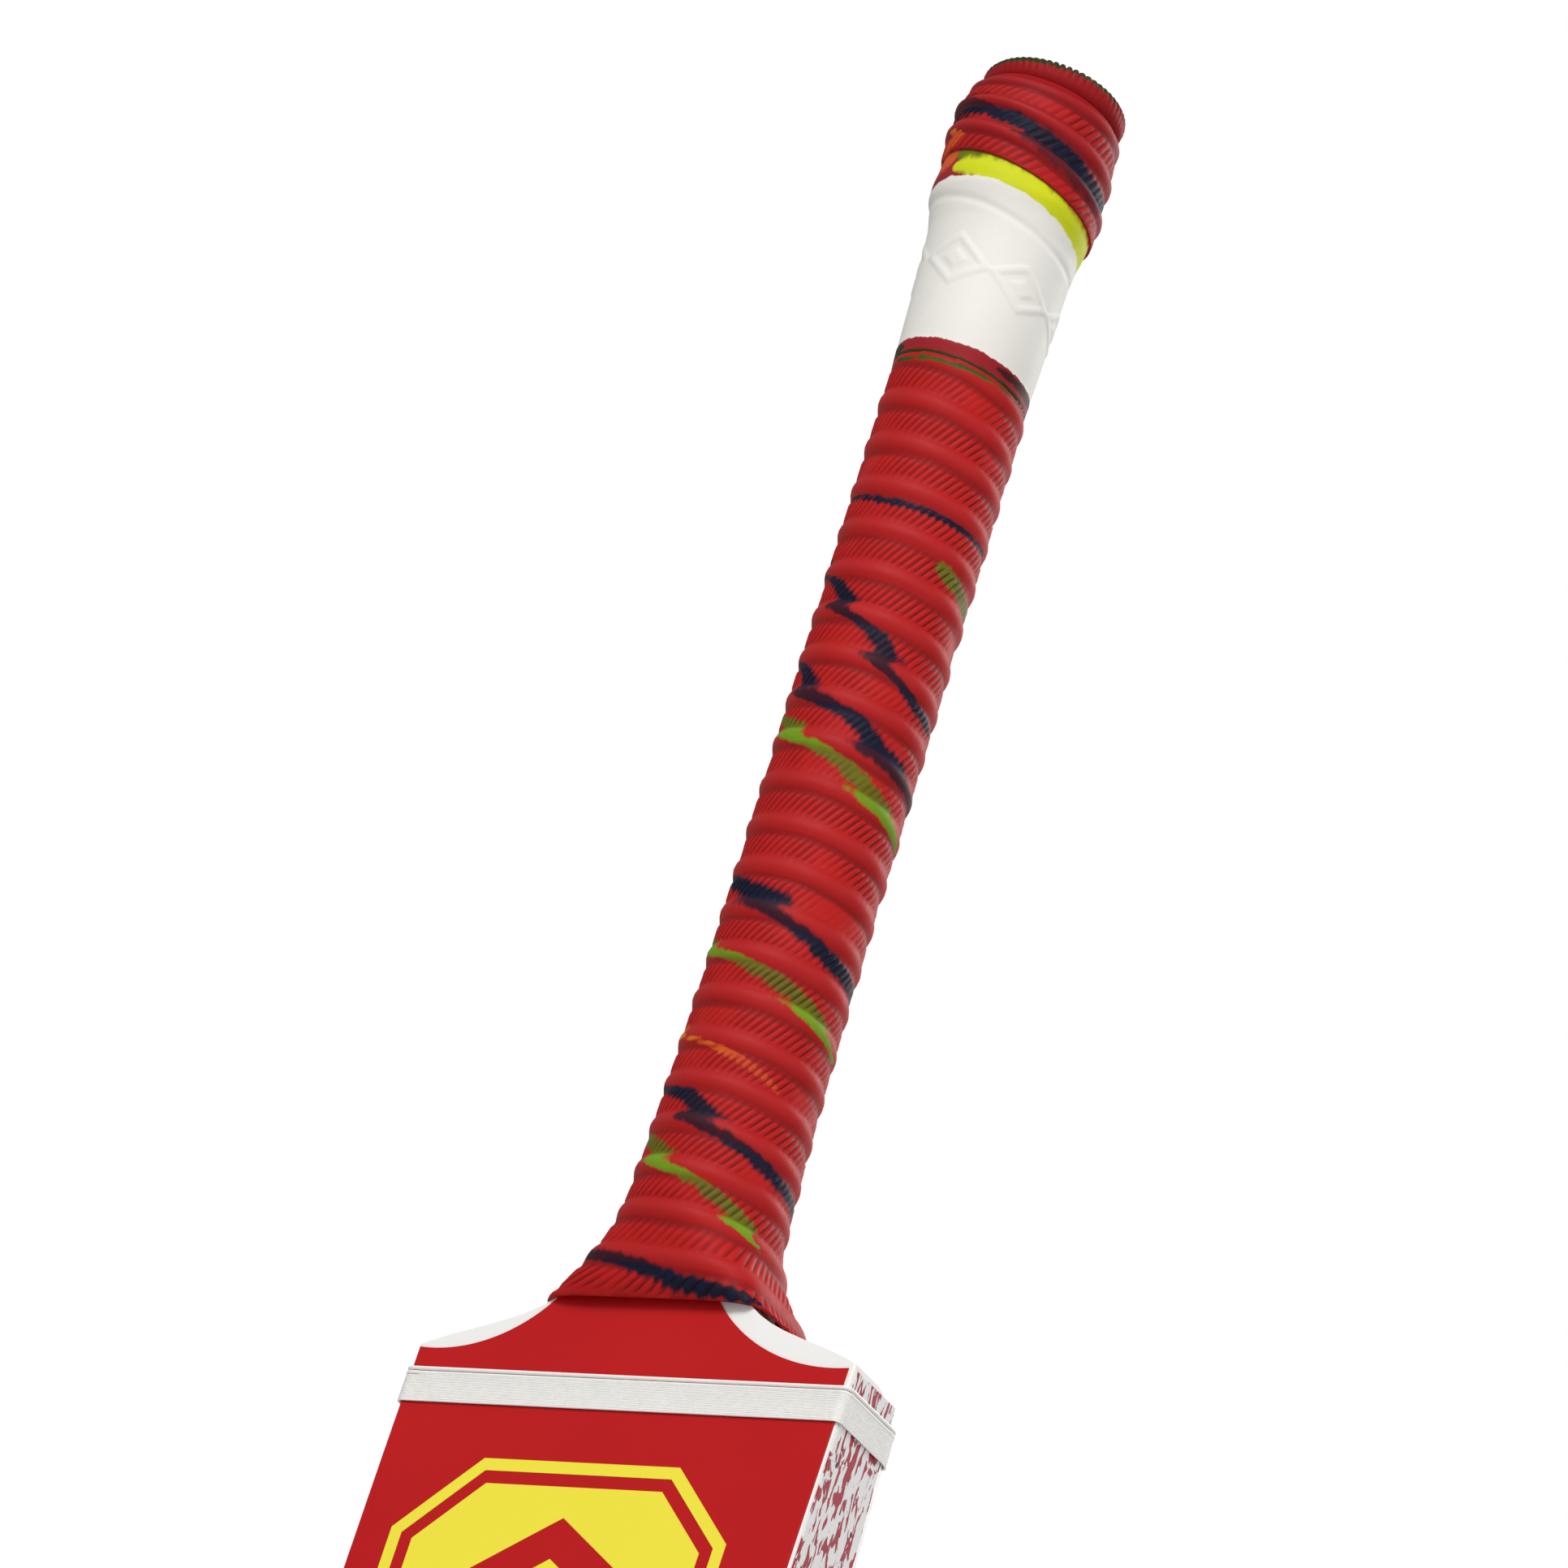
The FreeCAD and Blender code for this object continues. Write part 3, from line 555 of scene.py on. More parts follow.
def rubber_material(name, deep, bright, banded=False):
    """Moulded latex, marbled while wet: satin skin, with painted highlight on the ridge tops and toothed
    bands, painted shade on the flanks under the ridges and between the teeth, and streaks with feathered
    edges.  The banded one has a ring poured in white."""
    material, tree, place = start_material(name)
    masks = {mask: add_node(tree, "ShaderNodeAttribute", out=2, attribute_name=mask)
             for mask in (*PIGMENTS, "ridge", "band", "flank", "groove", "white")}
    cloud, base = uneven_colour(tree, place, 45.0, 2.0, deep, bright)
    crest = add_node(tree, "ShaderNodeMath", {0: masks["ridge"], 1: 3.0}, operation="POWER")
    # Painted light: the toothed bands and ridge tops are lightened as painted highlight, and the flank
    # under each ridge is darkened as painted shade.
    for mask, strength, tint in ((masks["band"], 0.55, "#BE1C1A"), (crest, 0.5, "#B0282A"),
                                 (masks["flank"], 0.6, "#6E0A0C")):
        share = add_node(tree, "ShaderNodeMath", {0: mask, 1: strength}, operation="MULTIPLY")
        base = add_node(tree, "ShaderNodeMix", {0: share, 6: base, 7: colour(tint)}, 2, data_type="RGBA")
    streaky = add_node(tree, "ShaderNodeMapping", {"Vector": place, "Scale": (1, 1, 0.4)})
    wisps = add_node(tree, "ShaderNodeTexNoise", {"Vector": streaky, "Scale": 480.0, "Detail": 3.0})
    feather = add_node(tree, "ShaderNodeMath", {0: wisps, 1: 0.7, 2: -0.35}, operation="MULTIPLY_ADD")
    blotch = add_node(tree, "ShaderNodeTexNoise", {"Vector": place, "Scale": 110.0, "Detail": 2.0})
    blotch = add_node(tree, "ShaderNodeMapRange", {"Value": blotch, "From Min": 0.35, "From Max": 0.65})
    raised = add_node(tree, "ShaderNodeMapRange", {
        "Value": masks["ridge"], "From Min": 0.15, "From Max": 0.75, "To Min": -0.2, "To Max": 0.8})
    spread = add_node(tree, "ShaderNodeMath", {0: blotch, 1: 0.45, 2: raised}, operation="MULTIPLY_ADD")
    spread = add_node(tree, "ShaderNodeMapRange", {"Value": spread})
    for mask, (full, thin) in PIGMENTS.items():
        frayed = add_node(tree, "ShaderNodeMath", {0: masks[mask], 1: feather}, operation="ADD")
        share = add_node(tree, "ShaderNodeMapRange", {"Value": frayed, "From Min": 0.3, "From Max": 0.68},
                         interpolation_type="SMOOTHSTEP")
        tone = add_node(tree, "ShaderNodeMix", {0: spread, 6: colour(full), 7: colour(thin)}, 2,
                        data_type="RGBA")
        base = add_node(tree, "ShaderNodeMix", {0: share, 6: base, 7: tone}, 2, data_type="RGBA")
    # Painted shade: the grooves between the teeth are darkened.
    shaded = add_node(tree, "ShaderNodeMath", {0: masks["groove"], 1: 0.95}, operation="MULTIPLY")
    dark = add_node(tree, "ShaderNodeMix", {0: 1.0, 6: base, 7: colour("#A06060")}, 2, data_type="RGBA",
                    blend_type="MULTIPLY")
    base = add_node(tree, "ShaderNodeMix", {0: shaded, 6: base, 7: dark}, 2, data_type="RGBA")
    if banded:
        chalk = add_node(tree, "ShaderNodeMix", {0: cloud, 6: colour("#DCDAD2"), 7: colour("#E8E6E0")}, 2,
                         data_type="RGBA")
        edge = add_node(tree, "ShaderNodeMath", {0: masks["white"], 1: feather}, operation="ADD")
        share = add_node(tree, "ShaderNodeMapRange", {"Value": edge, "From Min": 0.4, "From Max": 0.6},
                         interpolation_type="SMOOTHSTEP")
        base = add_node(tree, "ShaderNodeMix", {0: share, 6: base, 7: chalk}, 2, data_type="RGBA")
    skin = add_node(tree, "ShaderNodeTexNoise", {"Vector": place, "Scale": 2200.0, "Detail": 3.0})
    dents = add_node(tree, "ShaderNodeTexNoise", {"Vector": place, "Scale": 420.0, "Detail": 2.0})
    height = add_node(tree, "ShaderNodeMath", {0: dents, 1: 1.6, 2: skin}, operation="MULTIPLY_ADD")
    roughness = add_node(tree, "ShaderNodeMapRange", {"Value": dents, "To Min": 0.5, "To Max": 0.66})
    return end_material(material, tree, base, roughness, height, 0.03, {
        "IOR": 1.48, "Specular IOR Level": 0.16})


def ribbed_fade(low, high, soft):
    """How strongly the ribs stand, from 0 at the ends to 1."""
    return lambda height: (smoothstep(low[0], low[1], height) * (1 - soft * smoothstep(*high, height)))


BAND_COLUMNS = 256
BAND_STEP = 0.45
LOZENGE = (8.6, 6.0)               # half lengths of the raised lozenges, round and along the handle
LOZENGES = 6
LOZENGE_HEIGHT = 257.5
LOZENGE_ANGLE = math.radians(-30)
EMBOSS = 0.24
EMBOSS_TOP = (266, 269)            # the band's flat part ends between these
GROOVE_HEIGHT = 270.8
GROOVE_DEPTH = 0.3
GROOVE_WIDTH = 0.8
RIM_TUCK = 0.35                    # the rim is drawn in this much under the cap
RIM_TUCK_LENGTH = 3.5
COLLAR_RELIEF = 0.15


def emboss(angle, height):
    """Raised lozenges in a row round the band, each an outline with a solid middle."""
    spacing = 2 * math.pi / LOZENGES
    local = ((angle - LOZENGE_ANGLE + spacing / 2) % spacing - spacing / 2) * GIRTH
    reach = np.abs(local) / LOZENGE[0] + np.abs(height - LOZENGE_HEIGHT) / LOZENGE[1]
    outline = 1 - smoothstep(0.08, 0.2, np.abs(reach - 0.85))
    middle = 1 - smoothstep(0.28, 0.42, reach)
    return EMBOSS * np.maximum(outline, middle)


def make_band(material):
    """Smooth collar, white band and yellow rim, between the ribbed sleeve and the cap."""
    heights = np.arange(LIP - 0.3, CAP_FOOT + 1.0, BAND_STEP)
    angle = 2 * math.pi * np.arange(BAND_COLUMNS) / BAND_COLUMNS
    turned, level = np.meshgrid(angle, heights)
    collar = COLLAR_RELIEF * (1 - smoothstep(WHITE_FOOT - 0.6, WHITE_FOOT + 0.3, level))
    collar = collar * smoothstep(LIP - 0.5, LIP + 0.6, level)
    groove = -GROOVE_DEPTH * np.exp(-((level - GROOVE_HEIGHT) / GROOVE_WIDTH) ** 2)
    flat_part = smoothstep(WHITE_FOOT + 2, WHITE_FOOT + 5, level) * (1 - smoothstep(*EMBOSS_TOP, level))
    rim = -RIM_TUCK * smoothstep(CAP_FOOT - RIM_TUCK_LENGTH, CAP_FOOT, level)
    outside = on_grip(turned, level, -(collar + groove + emboss(turned, level) * flat_part + rim))
    inner = [on_grip(angle, np.full(BAND_COLUMNS, at), WALL) for at in heights[::-10]]
    ring = np.concatenate([outside, np.array(inner)])
    obj = closed_ring("grip_white_band", ring, BAND_COLUMNS, material)
    top = WHITE_TOP + WHITE_RISE * np.cos(turned - WHITE_TURN)
    inside = np.clip(np.minimum(top - level, level - WHITE_FOOT) / 2 + 0.5, 0, 1)
    store(obj, "white", np.concatenate([inside.ravel(), np.zeros(len(inner) * BAND_COLUMNS)]))
    paint(obj, BAND_STREAKS)
    return obj


# Section of the rolled edge: radius over ROLL_RADIUS, height above the rim's foot.
ROLL = (
    (-0.5, -1.0), (0.05, 0.2), (0.35, 1.1), (0.2, 2.0), (-0.6, 2.9), (-1.8, 3.45), (-3.4, 3.6),
    (-5.0, 3.5), (-6.2, 3.1), (-6.8, 2.4), (-6.6, 1.7), (-4.0, 1.5), (-2.0, -1.0),
)
ROLL_RADIUS = 15.9
ROLL_SHIFT = 1.6                   # rolled over further on the side away from the high one
NOTCH = 0.75                       # depth of the fine teeth
ROLL_RISE = 0.9
ROLL_TILT = 1.0                    # higher towards the playing face
ROLL_TEETH = 60
ROLL_COLUMNS = ROLL_TEETH * 5


def make_roll(material):
    """Rubber turned over the butt end, finely toothed round its edge."""
    angle = 2 * math.pi * np.arange(ROLL_COLUMNS) / ROLL_COLUMNS
    teeth = np.abs(np.sin(ROLL_TEETH * angle / 2)) ** TOOTH_ROUNDNESS
    aside = SKEW_ANGLE + math.pi / 2
    rows = []
    for out, rise in ROLL:
        toothed = smoothstep(0.6, 1.6, rise) * smoothstep(-4.5, -1.5, out)
        radius = ROLL_RADIUS + out - NOTCH * toothed * (1 - teeth)
        lift = (ROLL_RISE - ROLL_TILT * np.sin(angle)) * smoothstep(-1, 1, rise)
        level = RIM_FOOT + rise - 0.5 * NOTCH * toothed * (1 - teeth) + lift
        rows.append(np.stack([radius * np.cos(angle) + ROLL_SHIFT * math.cos(aside),
                              radius * np.sin(angle) + ROLL_SHIFT * math.sin(aside),
                              SHOULDER + level + skew(angle, level)], -1))
    obj = closed_ring("grip_rolled_edge", np.array(rows), ROLL_COLUMNS, material)
    paint(obj, CAP_STREAKS)
    return obj


def make_grip():
    rubber = rubber_material("moulded_marbled_latex", "#A21111", "#B21716")
    # The cap and the rolled end are given a deeper red than the ribbed sleeve.
    deeper_rubber = rubber_material("moulded_latex_in_deeper_red", "#8A0D13", "#9A1217")
    banded = rubber_material("moulded_latex_with_white_band", "#84101A", "#A0242A", banded=True)
    ribs = rib_tree()
    body = ribbed_sleeve("grip_ribbed_sleeve", GRIP_FOOT, LIP + 0.6, RIB_PITCH, RIDGE_HEIGHT, 1,
                         ribbed_fade((GRIP_FOOT - 1.5, GRIP_FOOT + 1.5), (LIP - 2.5, LIP + 0.4), 0.7))
    body = run_tree(body, ribs, {"Material": rubber})
    paint(body, STREAKS + hidden_streaks())
    cap = ribbed_sleeve("grip_cap", CAP_FOOT, RIM_FOOT, CAP_RIB_PITCH, CAP_RIDGE_HEIGHT, 0,
                        ribbed_fade((CAP_FOOT - 2, CAP_FOOT + 1), (RIM_FOOT - 4, RIM_FOOT - 0.5), 1))
    cap = run_tree(cap, ribs, {"Material": deeper_rubber, "Rib Relief": CAP_RIB_RELIEF * MM})
    paint(cap, CAP_STREAKS)
    for piece in (body, cap, make_band(banded), make_roll(deeper_rubber)):
        finish_piece(piece, "grip_rubber", "grip")


make_grip()

# ---------------------------------------------------------------- blade and handle wood

PAINT_FOOT = 196.0                 # sprayed white above this, bare willow below
RING_WIDTH = 9.0                   # growth rings across the face
PAINTED_BEHIND = 10.0              # cane that shows in the blade's back lies behind this


def willow_material():
    """Willow, planed and oiled: pale, straight thin growth lines and short dark flecks; the
    shoulders, edges and upper back are sprayed white, with the grain just telling through."""
    material, tree, place = start_material("planed_willow_with_sprayed_shoulders")
    stretched = add_node(tree, "ShaderNodeMapping", {"Vector": place, "Scale": (1, 1, 0.06)})
    drift = add_node(tree, "ShaderNodeTexNoise", {"Vector": stretched, "Scale": 28.0, "Detail": 2.0})
    x, y, z = (add_node(tree, "ShaderNodeSeparateXYZ", {0: place}, out=axis) for axis in range(3))
    across = add_node(tree, "ShaderNodeMath", {0: y, 1: 0.12, 2: x}, operation="MULTIPLY_ADD")
    ringed = add_node(tree, "ShaderNodeMath", {0: drift, 1: 0.012, 2: across}, operation="MULTIPLY_ADD")
    ringed = add_node(tree, "ShaderNodeMath", {0: ringed, 1: RING_WIDTH * MM}, operation="DIVIDE")
    phase = add_node(tree, "ShaderNodeMath", {0: ringed}, operation="FRACT")
    late = add_node(tree, "ShaderNodeMapRange", {"Value": phase, "From Min": 0.72, "From Max": 0.97},
                    interpolation_type="SMOOTHSTEP")
    fall = add_node(tree, "ShaderNodeMapRange", {
        "Value": phase, "From Min": 0.97, "From Max": 1.0, "To Min": 1.0, "To Max": 0.0})
    line = add_node(tree, "ShaderNodeMath", {0: late, 1: fall}, operation="MULTIPLY")
    soft = add_node(tree, "ShaderNodeMath", {0: line, 1: 0.6}, operation="MULTIPLY")
    base = add_node(tree, "ShaderNodeMix", {0: soft, 6: colour("#E6CFA0"), 7: colour("#BE9058")}, 2,
                    data_type="RGBA")
    fine = add_node(tree, "ShaderNodeMapping", {"Vector": place, "Scale": (1, 1, 0.05)})
    fibres = add_node(tree, "ShaderNodeTexNoise", {"Vector": fine, "Scale": 1500.0, "Detail": 3.0})
    flecks = add_node(tree, "ShaderNodeMapRange", {
        "Value": fibres, "From Min": 0.56, "From Max": 0.74, "To Max": 0.45})
    base = add_node(tree, "ShaderNodeMix", {0: flecks, 6: base, 7: colour("#A87A48")}, 2, data_type="RGBA")
    heart = add_node(tree, "ShaderNodeMapRange", {
        "Value": x, "From Min": 0.018, "From Max": 0.036, "To Max": 0.35}, interpolation_type="SMOOTHSTEP")
    base = add_node(tree, "ShaderNodeMix", {0: heart, 6: base, 7: colour("#B98858")}, 2, data_type="RGBA")
    spray = add_node(tree, "ShaderNodeTexNoise", {"Vector": place, "Scale": 700.0, "Detail": 4.0})
    misty = add_node(tree, "ShaderNodeMath", {0: spray, 1: 0.014, 2: z}, operation="MULTIPLY_ADD")
    painted = add_node(tree, "ShaderNodeMapRange", {
        "Value": misty, "From Min": (PAINT_FOOT + 3) * MM, "From Max": (PAINT_FOOT + 13) * MM},
        interpolation_type="SMOOTHSTEP")
    enamel = add_node(tree, "ShaderNodeMix", {0: drift, 6: colour("#EAE9E6"), 7: colour("#F2F1EF")}, 2,
                      data_type="RGBA")
    base = add_node(tree, "ShaderNodeMix", {0: painted, 6: base, 7: enamel}, 2, data_type="RGBA")
    bare = add_node(tree, "ShaderNodeMapRange", {"Value": painted, "To Min": 1.0, "To Max": 0.25})
    height = add_node(tree, "ShaderNodeMath", {0: line, 1: -0.5, 2: fibres}, operation="MULTIPLY_ADD")
    height = add_node(tree, "ShaderNodeMath", {0: height, 1: bare}, operation="MULTIPLY")
    roughness = add_node(tree, "ShaderNodeMapRange", {"Value": painted, "To Min": 0.46, "To Max": 0.36})
    return end_material(material, tree, base, roughness, height, 0.05)


def cane_material():
    """Sarawak cane, sanded: straw brown, straight fibres, open pores on the cut ends; the back of
    the splice is sprayed white along with the willow round it."""
    material, tree, place = start_material("sanded_cane")
    long = add_node(tree, "ShaderNodeMapping", {"Vector": place, "Scale": (1, 1, 0.03)})
    base = uneven_colour(tree, long, 1300.0, 3.0, "#B58A50", "#DDBB82")[1]
    pores = add_node(tree, "ShaderNodeTexVoronoi", {"Vector": long, "Scale": 1500.0})
    dots = add_node(tree, "ShaderNodeMapRange", {
        "Value": pores, "From Min": 0.16, "From Max": 0.3, "To Min": 0.75, "To Max": 0.0})
    base = add_node(tree, "ShaderNodeMix", {0: dots, 6: base, 7: colour("#5C3E20")}, 2, data_type="RGBA")
    facing = add_node(tree, "ShaderNodeTexCoord", out=1)
    rearward = add_node(tree, "ShaderNodeSeparateXYZ", {0: facing}, out=1)
    y, z = (add_node(tree, "ShaderNodeSeparateXYZ", {0: place}, out=axis) for axis in (1, 2))
    outer = add_node(tree, "ShaderNodeMath", {0: rearward, 1: 0.3}, operation="GREATER_THAN")
    behind = add_node(tree, "ShaderNodeMath", {0: y, 1: PAINTED_BEHIND * MM}, operation="GREATER_THAN")
    below = add_node(tree, "ShaderNodeMath", {0: z, 1: (SHOULDER + GRIP_FOOT + 4) * MM},
                     operation="LESS_THAN")
    painted = add_node(tree, "ShaderNodeMath", {0: outer, 1: behind}, operation="MULTIPLY")
    painted = add_node(tree, "ShaderNodeMath", {0: painted, 1: below}, operation="MULTIPLY")
    base = add_node(tree, "ShaderNodeMix", {0: painted, 6: base, 7: colour("#EEEDEA")}, 2, data_type="RGBA")
    return end_material(material, tree, base, 0.5, pores, 0.05)


def sheet_rubber_material(name, dark, pale, grain, bump):
    """Moulded or cut rubber: near black, matt, with a fine grain that catches a little light."""
    material, tree, place = start_material(name)
    speck = add_node(tree, "ShaderNodeTexNoise", {"Vector": place, "Scale": 1000 / grain, "Detail": 3.0})
    base = uneven_colour(tree, place, 60.0, 2.0, dark, pale)[1]
    roughness = add_node(tree, "ShaderNodeMapRange", {"Value": speck, "To Min": 0.5, "To Max": 0.75})
    return end_material(material, tree, base, roughness, speck, bump)


def make_wood():
    """The blade is a joined copy of its CAD node, shaded smooth; the handle's layers stay as they are."""
    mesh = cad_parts["blade"].data.copy()
    if "custom_normal" in mesh.attributes:
        mesh.attributes.remove(mesh.attributes["custom_normal"])
    blade = place_object("willow_blade", mesh)
    merge(blade, 0.01)
    mesh.shade_smooth()
    mesh.set_sharp_from_angle(angle=math.radians(32))
    mesh.materials.clear()
    mesh.materials.append(willow_material())
    finish_piece(blade, "willow", "blade")
    cane = cane_material()
    spring = sheet_rubber_material("cut_spring_rubber", "#1C1611", "#2C241C", 0.4, 0.03)
    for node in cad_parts:
        if node.startswith("cane_slip"):
            dress(node, cane)
        if node.startswith("rubber_spring"):
            dress(node, spring)
    dress("toe_guard", sheet_rubber_material("moulded_toe_rubber", "#151516", "#202022", 0.5, 0.05))


make_wood()

# ---------------------------------------------------------------- twine and thread

TWINE = 0.35                       # radius of the waxed twine
TWINE_STEPS = 20                   # points in one turn
TWINE_OUTSIDE = ((30.0, 15.0), (100.0, 14.0), (307.0, 13.8))
BOLD_THREAD = 0.46                 # the two turns that finish the binding
BOLD_TURNS = (0.55, 1.62)          # their middles below the band's upper edge
FINE_THREAD = 0.24
FINE_PITCH = 0.41
FINE_START = 2.0                   # first fine turn below the band's upper edge


def winding_tree():
    """A round thread along a path."""
    tree, given = start_tree("wound_thread", {
        "Thread Radius": ("NodeSocketFloat", FINE_THREAD * MM),
        "Sides": ("NodeSocketInt", 8),
        "Material": ("NodeSocketMaterial", None)})
    path = add_node(tree, "GeometryNodeMeshToCurve", {"Mesh": given["Geometry"]})
    section = add_node(tree, "GeometryNodeCurvePrimitiveCircle", {
        "Resolution": given["Sides"], "Radius": given["Thread Radius"]})
    thread = add_node(tree, "GeometryNodeCurveToMesh", {
        "Curve": path, "Profile Curve": section, "Fill Caps": True})
    smooth = add_node(tree, "GeometryNodeSetShadeSmooth", {"Geometry": thread})
    return end_tree(tree, smooth, given)


def make_path(name, points, closed=False):
    """Points joined in order, as edges."""
    edges = [(at, at + 1) for at in range(len(points) - 1)]
    if closed:
        edges.append((len(points) - 1, 0))
    return make_mesh(name, points, [], None, edges)


def twine_material():
    """Waxed flax twine: straw coloured, hairy fibres, dull wax gloss."""
    material, tree, place = start_material("waxed_flax_twine")
    fibres, base = uneven_colour(tree, place, 2400.0, 3.0, "#8E7142", "#C4A46C")
    return end_material(material, tree, base, 0.55, fibres, 0.08)


def thread_material():
    """White nylon thread, glued down: bright, with a milky glue skin that has dried in fine wrinkles."""
    material, tree, place = start_material("glued_nylon_thread")
    run = add_node(tree, "ShaderNodeMapping", {"Vector": place, "Scale": (0.22, 0.22, 1)})
    lines = add_node(tree, "ShaderNodeTexNoise", {"Vector": run, "Scale": 1300.0, "Detail": 4.0})
    wrinkles = add_node(tree, "ShaderNodeTexNoise", {
        "Vector": place, "Scale": 420.0, "Detail": 5.0, "Distortion": 1.6})
    base = add_node(tree, "ShaderNodeMix", {0: wrinkles, 6: colour("#E8E6E2"), 7: colour("#F5F3F0")}, 2,
                    data_type="RGBA")
    height = add_node(tree, "ShaderNodeMath", {0: wrinkles, 1: 2.2, 2: lines}, operation="MULTIPLY_ADD")
    roughness = add_node(tree, "ShaderNodeMapRange", {"Value": wrinkles, "To Min": 0.36, "To Max": 0.54})
    return end_material(material, tree, base, roughness, height, 0.06)


def binding_rays():
    """Where to look for the binding's surface, going once round the blade: points and directions."""
    low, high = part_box("blade_binding")
    inner, front = high.x / MM - 4, low.y / MM
    near, middle, deep = front + 4, front + 12, front + 15
    back = inner * 0.92
    # Each leg: the points' first and last x, their y, first and last direction, and how many.
    legs = (
        (-inner, inner, near, -90, -90, 5),
        (inner, inner, near, -80, 0, 9),
        (inner, inner, deep, 0, 70, 8),
        (back, -back, middle, 90, 90, 23),
        (-inner, -inner, deep, 110, 180, 8),
        (-inner, -inner, near, 180, 260, 9),
    )
    rays = []
    for first_x, last_x, y, first_turn, last_turn, count in legs:
        turns = np.radians(np.linspace(first_turn, last_turn, count))
        for x, turn in zip(np.linspace(first_x, last_x, count), turns):
            rays.append((Vector((x, y, 0)), Vector((math.cos(turn), math.sin(turn), 0))))
    return rays


def wind_round_blade(surface, heights, radius):
    """Path just inside the binding's surface; one height for each point."""
    rays = binding_rays()
    points = []
    for number, height in enumerate(heights):
        start, out = rays[number % len(rays)]
        start = start * MM + Vector((0, 0, (SHOULDER + height) * MM))
        hit = surface.ray_cast(start + out * 0.08, -out)[0]
        points.append((hit - out * radius * MM) / MM)
    return points


def make_bindings():
    tree = winding_tree()
    twine = twine_material()
    outside = np.array(TWINE_OUTSIDE)
    turns = (outside[-1, 0] - outside[0, 0]) / (2 * TWINE) - 1
    count = int(turns * TWINE_STEPS)
    around = 2 * math.pi * np.arange(count) / TWINE_STEPS
    height = outside[0, 0] + TWINE * (1 + around / math.pi)
    radius = np.interp(height, outside[:, 0], outside[:, 1]) - TWINE
    spiral = np.stack([radius * np.cos(around), radius * np.sin(around), SHOULDER + height], -1)
    piece = run_tree(make_path("handle_twine", spiral), tree, {
        "Thread Radius": TWINE * 1.04 * MM, "Sides": 5, "Material": twine})
    finish_piece(piece, "twine", "handle_binding")

    thread = thread_material()
    surface = surface_of("blade_binding")
    steps = len(binding_rays())
    for number, below in enumerate(BOLD_TURNS):
        points = wind_round_blade(surface, [THREAD_HIGH - below] * steps, BOLD_THREAD * 0.75)
        piece = run_tree(make_path(f"binding_finishing_turn_{number + 1}", points, closed=True), tree, {
            "Thread Radius": BOLD_THREAD * MM, "Material": thread})
        finish_piece(piece, "thread", "blade_binding")
    fine_turns = (THREAD_HIGH - FINE_START - THREAD_LOW - FINE_THREAD) / FINE_PITCH
    heights = [THREAD_HIGH - FINE_START - FINE_PITCH * at / steps for at in range(int(fine_turns * steps))]
    points = wind_round_blade(surface, heights, FINE_THREAD)
    piece = run_tree(make_path("binding_wound_turns", points), tree, {
        "Thread Radius": FINE_THREAD * MM, "Material": thread})
    finish_piece(piece, "thread", "blade_binding")


make_bindings()

# ---------------------------------------------------------------- labels and their printing

PRINT_THICKNESS = 0.06
PRINT_STEP = 2.5                   # longest edge, so that a print follows a curved label
PRINT_REACH = 200.0                # prints are laid on from this far out
PRINT_LIFT = 0.04                  # keeps a print clear of its label
BADGE_MIDDLE = (-3.8, -68.0)       # across, and above the shoulder corners
BADGE_HALF = (41.0, 42.0)
BADGE_CUT = 17.0                   # corners cut off
BADGE_LINE = 2.8
BADGE_GAP = 3.0
CHEVRON = (25.0, 17.0, 9.5)        # half width, rise and thickness of a chevron
CHEVRON_STEP = 17.5
CHEVRONS = 3
CUT_SHRINK = 0.586                 # a cut shrinks by this part of the inset
BADGE_TIP = 29.0                   # topmost chevron's tip above the badge's middle
BARS = 3
BAR_HEIGHT = 2.6
BAR_FOOT = 8.0
BAR_MARGIN = 1.5
EDGE_STREAKS = (0.465, 0.55)
BACK_STREAKS = (0.6, 0.62)
BACK_UPPER = (0.0, -72.0)          # middles of the two back panels, and their halves
BACK_UPPER_HALF = (38.0, 52.0)
BACK_LOWER = (0.0, 230.0 - SHOULDER)
BACK_LOWER_HALF = (35.0, 52.0)
BACK_CUT = 22.0
BACK_MARGIN = 4.0
BACK_RAISE = 0.45                  # of a step, so that the chevrons sit in the middle of the line


